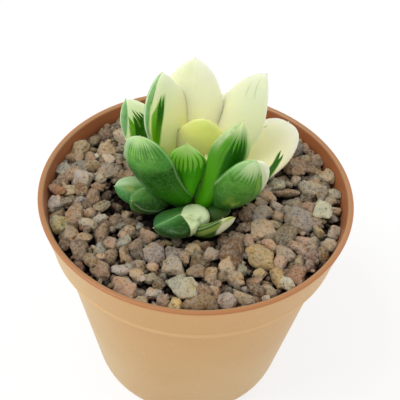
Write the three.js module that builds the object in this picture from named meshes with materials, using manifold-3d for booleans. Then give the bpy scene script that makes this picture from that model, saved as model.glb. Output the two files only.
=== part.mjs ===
// A young variegated haworthia in a plastic nursery pot, in millimetres, +Z up.
// The origin is the centre of the pot's foot. The view from the front looks along +Y.
import * as THREE from 'three';
import { mergeVertices } from 'three/addons/utils/BufferGeometryUtils.js';
import Module from 'manifold-3d';

const wasm = await Module();
wasm.setup();

// ---------------------------------------------------------------- driving dimensions

const GAP = 0.3;                 // air between pieces that touch
const ROUND_STEPS = 48;          // sides of the pot and the gravel bed

const POT = {
  height: 54,                    // foot to rim
  footRadius: 23.5,
  footHeight: 1.5,               // the floor is raised on a ring
  footWidth: 1.6,
  floorThickness: 1.5,
  waistRadius: 29.4,             // outside, just under the collar
  collarHeight: 9.8,
  collarBottomRadius: 30.7,
  rimRadius: 32.5,
  wall: 1.2,
  ledgeRise: 0.3,                // the wall inside steps out this far over the collar's bottom
  collarEdge: 0.4,               // chamfer on the collar's lower edge
  cornerRadius: 1.2,             // where the wall meets the foot
  insideCorner: 1.5,             // where it meets the floor inside
  holeRadius: 2.6,               // drainage holes round the floor
  holeCount: 6,
  holeCircle: 13,
};

const GRAVEL = {
  edgeHeight: 50.2,              // bed under the loose stones, at the wall
  dip: 0.4,                      // how much lower it is round the plant
  dipReach: 24,
  reach: 30.1,                   // no stone's middle lies further out
  largest: 3.0,                  // half width of the largest loose stones
  smallest: 1.45,
  tries: 6000,
  spacing: 0.86,                 // 1 would keep the stones just apart
  flatness: 0.85,                // height of a stone, of its width
  cornerLow: 0.88,               // reach of its corners, of its half width
  cornerHigh: 1.18,
  manySided: 4.6,                // half length and half width together of a stone with twenty sides
  cubeSide: 1.25,
  liftLow: 0.1,                  // height of its middle over the bed, of its half height
  liftHigh: 0.4,
  seed: 41,
};

const STEM = {
  centre: new THREE.Vector2(-0.5, 2.0),
  bottom: 40,
  radius: 4.7,
  shoulder: 50.6,
  top: 53.8,
  sides: 20,
};

const LEAF_RINGS = 8;            // rings from root to tip
const TIP_CROWDING = 1.55;       // over 1, the rings stand closer together near the tip
const ROOT_RING = 0.03;          // one more ring just above the root, which makes it blunt
const LEAF_SIDES = 10;
const KEEL = 0.35;               // how far the back's round is drawn in to a keel near the tip

const COLOUR = {
  pot: 0xc79d6d,
  gravel: 0x8d7868,
  stem: 0x5f8a2c,
  cream: 0xf0edc4,
  striped: 0xc8dba0,
  yellow: 0xd8d870,
  green: 0x4d9a35,
  dusky: 0x4f8060,
};

// A leaf grows from its root, a point on the stem, to its tip.
//   root   [direction, distance, height]: degrees from +X, mm from the stem's axis, mm up
//   tip    [x, y, z]
//   faces  degrees from +X in which the leaf's back looks
//   size   [width, thickness over the middle line, thickness under it]
//   bend   [outward bow, sideways bow, sideways hook of the tip]
//   form   [bluntness of the tip, where it starts, width at the root, where it is widest]
//   roll   degrees about the leaf's own length
const LEAVES = [
  { name: 'leaf_heart_left', colour: 'green', root: [190, 1.6, 53.2], tip: [-2.6, 2.4, 60.5],
    faces: 185, size: [4.4, 1.1, 1.7], bend: [0.6, 0.0, 0.0], form: [0.62, 0.45, 0.70, 0.55], roll: 0 },
  { name: 'leaf_heart_right', colour: 'yellow', root: [15, 1.6, 53.2], tip: [1.7, 2.6, 59.6],
    faces: 15, size: [4.6, 1.1, 1.7], bend: [0.6, 0.0, 0.0], form: [0.62, 0.45, 0.70, 0.55], roll: 0 },
  { name: 'leaf_green_centre', colour: 'green', root: [260, 3.5, 52.5], tip: [-3.0, -1.5, 66.0],
    faces: 265, size: [7.7, 1.8, 2.6], bend: [0.4, 0.3, 0.6], form: [1.17, 0.73, 0.30, 0.72], roll: 6 },
  { name: 'leaf_yellow_inner', colour: 'yellow', root: [95, 2.2, 53.0], tip: [0.1, 5.5, 66.9],
    faces: 85, size: [11.3, 1.8, 2.6], bend: [0.8, 0.7, -0.9], form: [0.53, 0.42, 0.72, 0.63], roll: -8 },
  { name: 'leaf_green_right', colour: 'green', root: [286, 4.4, 50.3], tip: [7.6, -3.0, 73.6],
    faces: 300, size: [8.4, 2.6, 3.2], bend: [0.4, 1.2, 0.2], form: [1.17, 0.60, 0.42, 0.82], roll: 33 },
  { name: 'leaf_green_left', colour: 'green', root: [242, 3.9, 51.5], tip: [-12.1, -7.0, 71.9],
    faces: 232, size: [11.3, 2.6, 3.6], bend: [2.0, -1.4, 1.5], form: [0.48, 0.53, 0.53, 0.73], roll: -19 },
  { name: 'leaf_cream_tall', colour: 'cream', root: [100, 3.6, 52.5], tip: [-2.3, 13.5, 75.5],
    faces: 95, size: [13.9, 2.0, 3.2], bend: [2.5, 1.2, -0.5], form: [0.63, 0.46, 0.62, 0.62], roll: -3 },
  { name: 'leaf_striped_left', colour: 'striped', root: [130, 4.0, 52.0], tip: [-6.9, 8.0, 76.0],
    faces: 140, size: [11.9, 2.2, 3.4], bend: [2.5, 1.3, 1.5], form: [0.80, 0.56, 0.53, 0.61], roll: 0 },
  { name: 'leaf_cream_right', colour: 'cream', root: [36, 4.5, 52.0], tip: [12.6, 11.0, 74.3],
    faces: 60, size: [12.0, 2.0, 3.0], bend: [2.8, 2.3, 0.3], form: [0.79, 0.47, 0.68, 0.79], roll: 8 },
  { name: 'leaf_plump_right', colour: 'dusky', root: [327, 5.2, 51.0], tip: [11.0, -9.0, 69.2],
    faces: 300, size: [9.7, 2.8, 4.0], bend: [1.5, 1.5, -0.5], form: [0.40, 0.36, 0.50, 0.46], roll: 24 },
  { name: 'leaf_cream_behind', colour: 'cream', root: [61, 4.5, 51.5], tip: [4.7, 16.0, 65.7],
    faces: 62, size: [9.5, 2.0, 3.0], bend: [2.5, -0.4, -0.4], form: [0.64, 0.48, 0.62, 0.62], roll: 0 },
  { name: 'leaf_cream_broad', colour: 'cream', root: [11, 5.2, 51.0], tip: [18.8, 16.0, 59.2],
    faces: 60, size: [14.5, 2.0, 3.0], bend: [0.6, -1.3, -0.4], form: [0.36, 0.32, 0.69, 0.73], roll: 9 },
  { name: 'leaf_low_front', colour: 'dusky', root: [288, 4.6, 50.0], tip: [-7.3, -11.9, 53.7],
    faces: 254, size: [11.2, 2.2, 2.6], bend: [2.7, 1.3, 0.3], form: [0.67, 0.60, 0.54, 0.89], roll: 3 },
  { name: 'leaf_striped_low', colour: 'striped', root: [147, 4.8, 51.0], tip: [-14.5, 11.0, 67.4],
    faces: 150, size: [11.0, 2.0, 3.0], bend: [2.5, -0.3, 1.6], form: [0.71, 0.49, 0.64, 0.57], roll: 8 },
  { name: 'leaf_low_left', colour: 'dusky', root: [194, 4.4, 50.5], tip: [-17.0, -1.0, 52.4],
    faces: 165, size: [7.3, 2.2, 2.6], bend: [2.5, 0.7, -0.4], form: [0.54, 0.37, 0.63, 0.58], roll: -1 },
  { name: 'leaf_low_front_left', colour: 'dusky', root: [209, 5.0, 50.8], tip: [-13.0, -8.0, 56.8],
    faces: 215, size: [6.5, 2.6, 3.0], bend: [2.5, 0.1, 0.9], form: [0.63, 0.34, 0.53, 0.50], roll: 3 },
  { name: 'leaf_small', colour: 'striped', root: [265, 5.2, 50.4], tip: [7.9, -9.6, 53.5],
    faces: 317, size: [5.8, 1.4, 1.8], bend: [2.9, -7.9, -1.8], form: [0.31, 0.68, 0.68, 0.57], roll: 30 },
  { name: 'leaf_back_right', colour: 'cream', root: [50, 5.0, 50.8], tip: [6.5, 19.0, 58.5],
    faces: 72, size: [9.5, 2.2, 2.8], bend: [2.0, 0.0, 0.0], form: [0.60, 0.45, 0.62, 0.60], roll: 0 },
  { name: 'leaf_back_middle', colour: 'striped', root: [105, 5.0, 50.8], tip: [-5.0, 19.5, 60.0],
    faces: 105, size: [10.5, 2.2, 2.8], bend: [2.0, 0.0, 0.0], form: [0.60, 0.45, 0.62, 0.60], roll: 0 },
  { name: 'leaf_back_left', colour: 'striped', root: [160, 5.0, 50.8], tip: [-14.5, 13.5, 58.5],
    faces: 140, size: [9.5, 2.2, 2.8], bend: [2.0, 0.0, 0.0], form: [0.60, 0.45, 0.62, 0.60], roll: 0 },
];

// Larger stones whose places show from the front: [x, y, half length, half width, turn in degrees].
const PLACED_STONES = [
  [12.9, -17.0, 3.3, 2.6, -50],
  [15.9, -20.7, 2.2, 1.5, -70],
  [-3.4, -19.5, 2.9, 2.4, -60],
  [-1.2, -24.3, 3.1, 2.6, -35],
  [-7.7, -17.2, 2.6, 2.1, 75],
  [-12.6, -25.1, 2.6, 1.8, -30],
  [-16.7, -21.5, 2.5, 1.6, -40],
  [-26.4, 12.2, 2.7, 2.5, 0],
  [-21.1, 11.7, 2.4, 2.2, 30],
  [24.7, 3.6, 2.7, 2.4, 0],
  [19.0, 2.4, 3.0, 1.3, -8],
  [18.4, 6.4, 2.1, 1.3, -10],
  [17.8, -15.2, 2.5, 1.7, -65],
  [21.0, -13.5, 2.5, 1.9, -25],
  [-26.8, -10.3, 2.2, 1.9, 80],
  [-24.2, -12.9, 2.3, 2.0, 70],
  [16.7, -2.3, 1.9, 1.8, 0],
  [16.6, -7.1, 2.1, 1.5, 0],
  [-29.0, 4.9, 2.0, 1.8, 0],
  [-27.9, 9.2, 1.6, 1.4, 0],
  [-26.4, -1.3, 1.8, 1.5, 30],
  [-29.0, -4.9, 1.9, 1.5, 90],
  [-24.0, -3.6, 1.7, 1.4, 20],
  [-21.4, -9.9, 2.0, 1.4, -35],
  [-19.0, -8.4, 1.5, 1.2, -15],
  [-20.5, 0.7, 1.9, 1.5, 0],
  [-15.3, -8.6, 1.7, 1.6, 0],
  [-13.1, -11.7, 1.9, 1.4, 35],
  [-9.2, -12.2, 2.1, 1.8, 0],
  [-17.9, -16.1, 2.2, 1.2, 80],
  [-13.1, -16.8, 2.0, 1.3, 90],
  [-11.2, -15.0, 1.7, 1.3, 90],
  [-10.7, -19.6, 1.6, 1.4, 0],
  [-7.8, -22.5, 1.9, 1.2, 10],
  [-7.0, -26.4, 1.7, 1.5, 0],
  [29.3, 2.5, 1.7, 1.7, 0],
  [28.1, -7.9, 2.0, 1.6, 70],
  [24.9, -14.6, 1.8, 1.5, 70],
  [24.1, -11.2, 1.4, 1.3, 0],
  [26.9, -11.8, 1.6, 1.4, 0],
  [25.2, -8.6, 1.8, 1.3, -40],
  [22.4, -17.6, 1.7, 1.4, 20],
  [3.6, -21.7, 1.9, 1.8, 60],
  [8.5, -21.7, 1.8, 1.6, 20],
  [4.4, -25.2, 1.5, 1.4, 0],
  [9.2, -25.8, 2.5, 1.5, -30],
  [14.5, -24.2, 1.8, 1.3, 0],
  [26.9, 13.4, 2.2, 1.7, 20],
  [28.3, 8.0, 1.9, 1.7, 0],
  [25.1, 9.9, 1.8, 1.3, -20],
  [-1.5, -13.4, 1.8, 1.5, 0],
  [-5.0, -13.8, 1.6, 1.2, -20],
  [2.9, -13.6, 1.7, 1.5, 0],
];

// ---------------------------------------------------------------- small helpers

const { clamp, lerp, degToRad: degrees } = THREE.MathUtils;

function smoothRise(x) {
  const t = clamp(x, 0, 1);
  return t * t * (3 - 2 * t);
}

function direction(angle, height = 0) {
  return new THREE.Vector3(Math.cos(degrees(angle)), Math.sin(degrees(angle)), height);
}

/** Repeatable random numbers from 0 to 1. */
function randomSource(seed) {
  let state = seed >>> 0;
  return () => {
    state = (state + 0x6d2b79f5) >>> 0;
    let t = state;
    t = Math.imul(t ^ (t >>> 15), t | 1);
    t ^= t + Math.imul(t ^ (t >>> 7), t | 61);
    return ((t ^ (t >>> 14)) >>> 0) / 4294967296;
  };
}

function toSolid(geometry) {
  const bare = geometry.clone();
  bare.deleteAttribute('normal');
  bare.deleteAttribute('uv');
  const merged = mergeVertices(bare, 1e-4);
  return new wasm.Manifold(new wasm.Mesh({
    numProp: 3,
    vertProperties: new Float32Array(merged.attributes.position.array),
    triVerts: new Uint32Array(merged.index.array),
  }));
}

function toGeometry(solid) {
  const mesh = solid.getMesh();
  const geometry = new THREE.BufferGeometry();
  geometry.setAttribute('position', new THREE.BufferAttribute(mesh.vertProperties, 3));
  geometry.setIndex(new THREE.BufferAttribute(mesh.triVerts, 1));
  geometry.computeVertexNormals();
  return geometry;
}

/** The same closed form, moved outwards by a distance everywhere. */
function swollen(geometry, distance) {
  const bare = geometry.clone();
  bare.deleteAttribute('normal');
  bare.deleteAttribute('uv');
  const grown = mergeVertices(bare, 1e-4);
  grown.computeVertexNormals();
  const place = grown.attributes.position;
  const out = grown.attributes.normal;
  for (let i = 0; i < place.count; i += 1) {
    place.setXYZ(
      i,
      place.getX(i) + distance * out.getX(i),
      place.getY(i) + distance * out.getY(i),
      place.getZ(i) + distance * out.getZ(i),
    );
  }
  return toSolid(grown);
}

/** The largest of the bodies that a cut leaves. */
function largestBody(solid) {
  const bodies = solid.decompose();
  bodies.sort((a, b) => b.volume() - a.volume());
  return bodies[0];
}

/** A turned solid about the Z axis, from [radius, height] points that start and end on the axis. */
function turned(points, steps = ROUND_STEPS) {
  const profile = points.map(([radius, height]) => new THREE.Vector2(radius, height));
  const geometry = new THREE.LatheGeometry(profile, steps);
  geometry.rotateX(Math.PI / 2);
  return geometry;
}

function mesh(name, geometry, colour, roughness) {
  const material = new THREE.MeshStandardMaterial({ color: colour, roughness, metalness: 0 });
  const object = new THREE.Mesh(geometry, material);
  object.name = name;
  return object;
}

// ---------------------------------------------------------------- pot

const COLLAR_BOTTOM = POT.height - POT.collarHeight;
const LEDGE_BOTTOM = COLLAR_BOTTOM + POT.ledgeRise;
const LEDGE_TOP = LEDGE_BOTTOM + POT.wall;
const FLOOR_TOP = POT.footHeight + POT.floorThickness;
const FLOOR_CORNER = FLOOR_TOP + POT.insideCorner;

/** Radius of the pot's inside at a height over its floor. */
function insideRadius(height) {
  const between = (low, high) => clamp((height - low) / (high - low), 0, 1);
  const collar = lerp(POT.collarBottomRadius, POT.rimRadius, between(COLLAR_BOTTOM, POT.height));
  const body = lerp(POT.footRadius, POT.waistRadius, between(0, COLLAR_BOTTOM));
  return lerp(body, collar, between(LEDGE_BOTTOM, LEDGE_TOP)) - POT.wall;
}

/** The shell, with a raised foot ring, a stepped collar, a rounded lip and holes in its floor. */
function makePot() {
  const lip = POT.wall / 2;
  const footOutside = POT.footRadius - POT.cornerRadius / 2;
  const footInside = footOutside - POT.footWidth;
  const under = [
    [0, POT.footHeight],
    [footInside - POT.wall / 2, POT.footHeight],
    [footInside, 0],
  ];
  const outer = [
    [footOutside, 0],
    [POT.footRadius - POT.cornerRadius / 6, POT.cornerRadius / 3],
    [POT.footRadius, POT.cornerRadius],
    [POT.waistRadius, COLLAR_BOTTOM],
    [POT.collarBottomRadius - POT.collarEdge, COLLAR_BOTTOM],
    [POT.collarBottomRadius, COLLAR_BOTTOM + POT.collarEdge],
    [POT.rimRadius, POT.height - lip],
    [POT.rimRadius - lip / 3, POT.height - lip / 3],
  ];
  const inner = [
    [POT.rimRadius - lip, POT.height],
    [POT.rimRadius - POT.wall, POT.height - lip / 2],
    [insideRadius(LEDGE_TOP), LEDGE_TOP],
    [insideRadius(LEDGE_BOTTOM), LEDGE_BOTTOM],
    [insideRadius(FLOOR_CORNER), FLOOR_CORNER],
    [insideRadius(FLOOR_TOP) - POT.insideCorner, FLOOR_TOP],
    [0, FLOOR_TOP],
  ];
  const drill = new THREE.CylinderGeometry(POT.holeRadius, POT.holeRadius, 3 * POT.floorThickness, 12);
  drill.rotateX(Math.PI / 2);
  const holes = [];
  for (let i = 0; i < POT.holeCount; i += 1) {
    const at = direction((360 * i) / POT.holeCount).multiplyScalar(POT.holeCircle);
    holes.push(toSolid(drill.clone().translate(at.x, at.y, FLOOR_TOP - POT.floorThickness / 2)));
  }
  const shell = toSolid(turned([...under, ...outer, ...inner]));
  return toGeometry(shell.subtract(wasm.Manifold.union(holes)));
}

// ---------------------------------------------------------------- stem and leaves

/** A short stump with a rounded top. */
function makeStem() {
  const { bottom, radius, shoulder, top } = STEM;
  const geometry = turned([
    [0, bottom + GAP],
    [radius * 0.75, bottom + GAP],
    [radius * 0.92, bottom + 2],
    [radius, shoulder],
    [radius * 0.8, lerp(shoulder, top, 0.6)],
    [radius * 0.45, lerp(shoulder, top, 0.92)],
    [0, top],
  ], STEM.sides);
  return geometry.translate(STEM.centre.x, STEM.centre.y, 0);
}

/** Middle line of a leaf: a curve of three points from its root to its tip. */
function leafLine(leaf) {
  const [angle, distance, height] = leaf.root;
  const root = direction(angle).multiplyScalar(distance);
  root.add(new THREE.Vector3(STEM.centre.x, STEM.centre.y, height));
  const tip = new THREE.Vector3(...leaf.tip);
  const [bow, sideBow] = leaf.bend;
  const middle = root.clone().add(tip).multiplyScalar(0.5);
  middle.addScaledVector(direction(leaf.faces, -0.55).normalize(), bow);
  middle.addScaledVector(direction(leaf.faces + 90), sideBow);
  return new THREE.QuadraticBezierCurve3(root, middle, tip);
}

/** Half width and the two thicknesses at a share of the leaf's length. */
function leafSection(leaf, along) {
  const [width, over, under] = leaf.size;
  const [bluntness, capStart, rootWidth, widest] = leaf.form;
  const end = Math.max((along - capStart) / (1 - capStart), 0);
  const cap = (1 - end ** 2) ** bluntness;
  const neck = rootWidth + (1 - rootWidth) * smoothRise(along / widest);
  const thinEnd = Math.max((along - 0.35) / 0.65, 0);
  const thickness = (0.8 + 0.2 * smoothRise(along / 0.45)) * (1 - thinEnd ** 2) ** 0.62;
  return { half: (width / 2) * neck * cap, over: over * thickness, under: under * thickness };
}

/** Shares of a leaf's length at which it has a ring of points, from 0 at its root to 1 at its tip. */
const LEAF_STATIONS = [0, ROOT_RING];
for (let ring = 1; ring <= LEAF_RINGS; ring += 1) {
  LEAF_STATIONS.push(1 - (1 - ring / LEAF_RINGS) ** TIP_CROWDING);
}

/** The three directions of a leaf at a share of its length: across it, out of its face, and ahead. */
function leafFrame(leaf, line, along) {
  const forward = line.getTangent(along);
  const inward = direction(leaf.faces, -0.9).negate();
  const rise = inward.addScaledVector(forward, -inward.dot(forward)).normalize();
  const side = new THREE.Vector3().crossVectors(rise, forward);
  const roll = degrees(leaf.roll);
  const up = rise.clone().multiplyScalar(Math.cos(roll)).addScaledVector(side, Math.sin(roll));
  const across = side.multiplyScalar(Math.cos(roll)).addScaledVector(rise, -Math.sin(roll));
  return { across, up };
}

/** One fleshy leaf: rounded above, with a soft keel along its back towards the tip. */
function makeLeaf(leaf) {
  const line = leafLine(leaf);
  const hook = leaf.bend[2];
  const points = [];
  for (const along of LEAF_STATIONS) {
    const { across, up } = leafFrame(leaf, line, along);
    const centre = line.getPoint(along);
    centre.addScaledVector(across, hook * smoothRise((along - 0.45) / 0.55));
    if (along === 0 || along === 1) {
      points.push(centre);
      continue;
    }
    const section = leafSection(leaf, along);
    const keel = KEEL * smoothRise((along - 0.25) / 0.6);
    for (let i = 0; i < LEAF_SIDES; i += 1) {
      const turn = (2 * Math.PI * i) / LEAF_SIDES;
      const x = Math.cos(turn);
      const y = Math.abs(Math.sin(turn));
      const back = (1 - keel) * y ** 1.1 + keel * (1 - Math.abs(x));
      const height = i <= LEAF_SIDES / 2 ? section.over * y ** 1.15 : -section.under * back;
      const point = centre.clone().addScaledVector(across, section.half * x);
      points.push(point.addScaledVector(up, height));
    }
  }
  return closedTube(points, LEAF_STATIONS.length - 2, LEAF_SIDES);
}

/** Closed surface through rings of points, with a first and a last point of their own. */
function closedTube(points, rings, sides) {
  const index = [];
  const last = points.length - 1;
  const at = (ring, i) => 1 + ring * sides + (i % sides);
  for (let i = 0; i < sides; i += 1) {
    index.push(0, at(0, i + 1), at(0, i));
    index.push(last, at(rings - 1, i), at(rings - 1, i + 1));
    for (let ring = 0; ring < rings - 1; ring += 1) {
      index.push(at(ring, i), at(ring + 1, i + 1), at(ring + 1, i));
      index.push(at(ring, i), at(ring, i + 1), at(ring + 1, i + 1));
    }
  }
  const geometry = new THREE.BufferGeometry().setFromPoints(points);
  geometry.setIndex(index);
  return geometry;
}

/** Every leaf, each cut clear of the stem and of the leaves further in, which come first. */
function makeLeaves(stem) {
  let inside = swollen(stem, GAP);
  return LEAVES.map((leaf) => {
    const whole = makeLeaf(leaf);
    const solid = toSolid(whole).subtract(inside);
    const room = swollen(whole, GAP);
    inside = inside.add(room);
    return { leaf, room, geometry: toGeometry(largestBody(solid)) };
  });
}

// ---------------------------------------------------------------- gravel

/** Height of the bed under the loose stones. */
function bedHeight(x, y) {
  const away = Math.hypot(x - STEM.centre.x, y - STEM.centre.y);
  return GRAVEL.edgeHeight - GRAVEL.dip * (1 - smoothRise(away / GRAVEL.dipReach));
}

/** Stones from large to small, each where it doesn't crowd the ones before it. */
function layStones() {
  const random = randomSource(GRAVEL.seed);
  const settle = (stone) => ({ ...stone, tilt: [random(), random()], lift: random() });
  const stones = PLACED_STONES.map(([x, y, long, wide, turn]) => settle({ x, y, long, wide, turn }));
  for (let i = 0; i < GRAVEL.tries; i += 1) {
    const size = lerp(GRAVEL.largest, GRAVEL.smallest, (i / GRAVEL.tries) ** 0.6);
    const away = GRAVEL.reach * Math.sqrt(random());
    const angle = 2 * Math.PI * random();
    const stretch = lerp(0.8, 1.2, random());
    const turn = 360 * random();
    const x = away * Math.cos(angle);
    const y = away * Math.sin(angle);
    const inStem = Math.hypot(x - STEM.centre.x, y - STEM.centre.y) < STEM.radius + size / 2;
    const inWall = away + 0.7 * size > GRAVEL.reach;
    const crowded = stones.some((stone) => {
      const apart = GRAVEL.spacing * (size + (stone.long + stone.wide) / 2);
      return Math.hypot(x - stone.x, y - stone.y) < apart;
    });
    if (!crowded && !inStem && !inWall) {
      stones.push(settle({ x, y, long: size * stretch, wide: size / stretch, turn }));
    }
  }
  return stones;
}

/** One angular stone with uneven corners: an icosahedron if it is large, or else a skewed cube. */
function makeStone(stone, random) {
  const large = stone.long + stone.wide > GRAVEL.manySided;
  const side = GRAVEL.cubeSide;
  const regular = large ? new THREE.IcosahedronGeometry(1, 0) : new THREE.BoxGeometry(side, side, side);
  regular.deleteAttribute('normal');
  regular.deleteAttribute('uv');
  const geometry = mergeVertices(regular, 1e-4);
  const corners = geometry.attributes.position;
  for (let i = 0; i < corners.count; i += 1) {
    const out = lerp(GRAVEL.cornerLow, GRAVEL.cornerHigh, random());
    corners.setXYZ(i, corners.getX(i) * out, corners.getY(i) * out, corners.getZ(i) * out);
  }
  const tall = GRAVEL.flatness * Math.min(stone.long, stone.wide);
  geometry.rotateX(2 * Math.PI * stone.tilt[0]);
  geometry.rotateY(2 * Math.PI * stone.tilt[1]);
  geometry.scale(stone.long, stone.wide, tall);
  geometry.rotateZ(degrees(stone.turn));
  const height = bedHeight(stone.x, stone.y) + tall * lerp(GRAVEL.liftLow, GRAVEL.liftHigh, stone.lift);
  return geometry.translate(stone.x, stone.y, height);
}

/** The bed and its stones as one body, clear of the wall, the stem's plain hole and the low leaves. */
function makeGravel(leaves) {
  const clear = 1.5 * GAP;
  const floor = FLOOR_TOP + GAP;
  const wall = [
    [insideRadius(floor) - POT.insideCorner - clear, floor],
    ...[FLOOR_CORNER + GAP, LEDGE_BOTTOM, LEDGE_TOP].map((height) => [insideRadius(height) - clear, height]),
  ];
  const rim = [insideRadius(POT.height) - clear, POT.height];
  const inside = toSolid(turned([[0, floor], ...wall, rim, [0, POT.height]]));
  const bedTop = [1, 0.55, 0.25, 0].map((share) => {
    const away = share * (insideRadius(GRAVEL.edgeHeight) - clear);
    return [away, bedHeight(STEM.centre.x + away, STEM.centre.y)];
  });
  const bed = toSolid(turned([[0, floor], ...wall, ...bedTop]));
  const random = randomSource(GRAVEL.seed + 1);
  const stones = layStones().map((stone) => toSolid(makeStone(stone, random)));
  const drill = new THREE.CylinderGeometry(STEM.radius + GAP, STEM.radius + GAP, POT.height, STEM.sides);
  drill.rotateX(Math.PI / 2);
  drill.translate(STEM.centre.x, STEM.centre.y, STEM.bottom + POT.height / 2);
  const rooms = leaves.map(({ room }) => room);
  const heap = wasm.Manifold.union([bed, ...stones]).intersect(inside);
  const carved = heap.subtract(wasm.Manifold.union([toSolid(drill), ...rooms]));
  return toGeometry(largestBody(carved));
}

// ---------------------------------------------------------------- the object

const group = new THREE.Group();
const stem = makeStem();
const leaves = makeLeaves(stem);
group.add(mesh('pot', makePot(), COLOUR.pot, 0.45));
group.add(mesh('gravel', makeGravel(leaves), COLOUR.gravel, 0.95));
group.add(mesh('stem', toGeometry(toSolid(stem)), COLOUR.stem, 0.5));
for (const { leaf, geometry } of leaves) {
  group.add(mesh(leaf.name, geometry, COLOUR[leaf.colour], 0.4));
}

export default group;
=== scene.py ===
# %% [markdown]
# # A young variegated haworthia in a nursery pot
#
# The object is a rosette of fleshy leaves in a small plastic pot, on a bed of lava and pumice
# gravel. Every piece below is worked out as a surface with numpy: a formula gives a grid of points
# as one array, and the array becomes a mesh. The camera and the light come first, because every
# later choice is judged through them. Lengths are in millimetres, and MM turns them into metres.

import bpy
import numpy as np
from mathutils import Matrix


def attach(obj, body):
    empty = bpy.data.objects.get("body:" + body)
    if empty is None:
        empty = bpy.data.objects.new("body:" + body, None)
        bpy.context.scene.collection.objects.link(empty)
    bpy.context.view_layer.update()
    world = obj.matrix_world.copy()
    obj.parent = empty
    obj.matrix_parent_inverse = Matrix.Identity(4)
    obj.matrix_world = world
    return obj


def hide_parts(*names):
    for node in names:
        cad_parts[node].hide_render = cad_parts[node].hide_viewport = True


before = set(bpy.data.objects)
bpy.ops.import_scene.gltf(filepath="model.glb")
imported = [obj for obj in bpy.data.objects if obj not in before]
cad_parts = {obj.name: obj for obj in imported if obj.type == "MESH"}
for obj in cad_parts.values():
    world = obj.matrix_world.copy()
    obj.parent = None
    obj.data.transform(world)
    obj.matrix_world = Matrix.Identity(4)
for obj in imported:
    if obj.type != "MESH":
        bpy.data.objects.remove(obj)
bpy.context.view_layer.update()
MM = 0.001
print("nodes to dress:", len(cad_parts))

# %% [markdown]
# ## Camera
#
# The photograph looks down on the pot at about 44 degrees, from a hand's width away, and is tilted
# by a few degrees. A camera is placed either by aiming it at a target or by giving its three axes.
# The axes are used here, because they also hold the small tilt.

# %% Camera
CAMERA_PLACE = np.array([0.0, -97.25, 147.33]) * MM
CAMERA_RIGHT = np.array([0.99823, 0.03785, 0.04592])
CAMERA_UP = np.array([-0.05921, 0.70882, 0.70290])
FOCAL_PIXELS, FRAME_PIXELS = 650.0, 400.0
SENSOR_WIDTH = 36.0
NEAREST_SEEN = 5.0 * MM

lens = bpy.data.cameras.new("camera")
lens.sensor_width = SENSOR_WIDTH
lens.lens = SENSOR_WIDTH * FOCAL_PIXELS / FRAME_PIXELS
lens.clip_start = NEAREST_SEEN
camera = bpy.data.objects.new("camera", lens)
bpy.context.collection.objects.link(camera)
turned = np.eye(4)
turned[:3, 0] = CAMERA_RIGHT
turned[:3, 1] = CAMERA_UP
turned[:3, 2] = np.cross(CAMERA_RIGHT, CAMERA_UP)
turned[:3, 3] = CAMERA_PLACE
camera.matrix_world = Matrix(turned.tolist())
bpy.context.scene.camera = camera
print("lens", round(lens.lens, 1), "mm")

# %% [markdown]
# ## Light
#
# The picture was taken in a bright white surround: the background is almost white, and the
# shadows between the stones are soft. A white world does most of the work. One large lamp high on
# the left gives the leaves their shine and the stones their direction.

# %% World and lamps
WORLD_STRENGTH = 0.70
WHITE = (1.0, 1.0, 1.0, 1.0)
PLANT_MIDDLE = np.array([0.0, 0.0, 52.0]) * MM
LAMPS = [
    # name, place in mm, size in mm, power in watts
    ("window", (-240, -60, 430), 260, 1.15),
    ("room", (300, 160, 300), 300, 0.28),
]

scene = bpy.context.scene
scene.view_settings.view_transform = "Standard"
world = bpy.data.worlds.new("white room")
world.use_nodes = True
backdrop = world.node_tree.nodes["Background"]
backdrop.inputs["Color"].default_value = WHITE
backdrop.inputs["Strength"].default_value = WORLD_STRENGTH
scene.world = world


def hang_lamp(name, place, size, power):
    """A square lamp whose -Z axis points at the middle of the plant. Its other two axes follow
    from that one by cross products."""
    lamp = bpy.data.lights.new(name, "AREA")
    lamp.size = size * MM
    lamp.energy = power
    holder = bpy.data.objects.new(name, lamp)
    bpy.context.collection.objects.link(holder)
    place = np.array(place, float) * MM
    back = place - PLANT_MIDDLE
    back = back / np.linalg.norm(back)
    side = np.cross([0.0, 0.0, 1.0], back)
    side = side / np.linalg.norm(side)
    pose = np.eye(4)
    pose[:3, :3] = np.stack([side, np.cross(back, side), back], axis=1)
    pose[:3, 3] = place
    holder.matrix_world = Matrix(pose.tolist())
    return holder


for lamp_row in LAMPS:
    hang_lamp(*lamp_row)
print("lamps:", [name for name, *_ in LAMPS])

# %% [markdown]
# ## Helpers
#
# A colour is easiest to note as it looks, from 0 to 255, but a shader works in linear light. `ink`
# turns one into the other. `Finish` holds one material and keeps the node work short: each method
# adds a node and gives back its output.

# %% Colours


def ink(red, green, blue):
    """The linear colour of a shade as it looks: each channel raised to the display's curve."""
    shade = np.array([red, green, blue]) / 255.0
    low = shade / 12.92
    high = ((shade + 0.055) / 1.055) ** 2.4
    return (*np.where(shade <= 0.04045, low, high).tolist(), 1.0)


print("middle grey in linear light:", np.round(ink(128, 128, 128), 3))

# %% Materials, one node at a time


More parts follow.
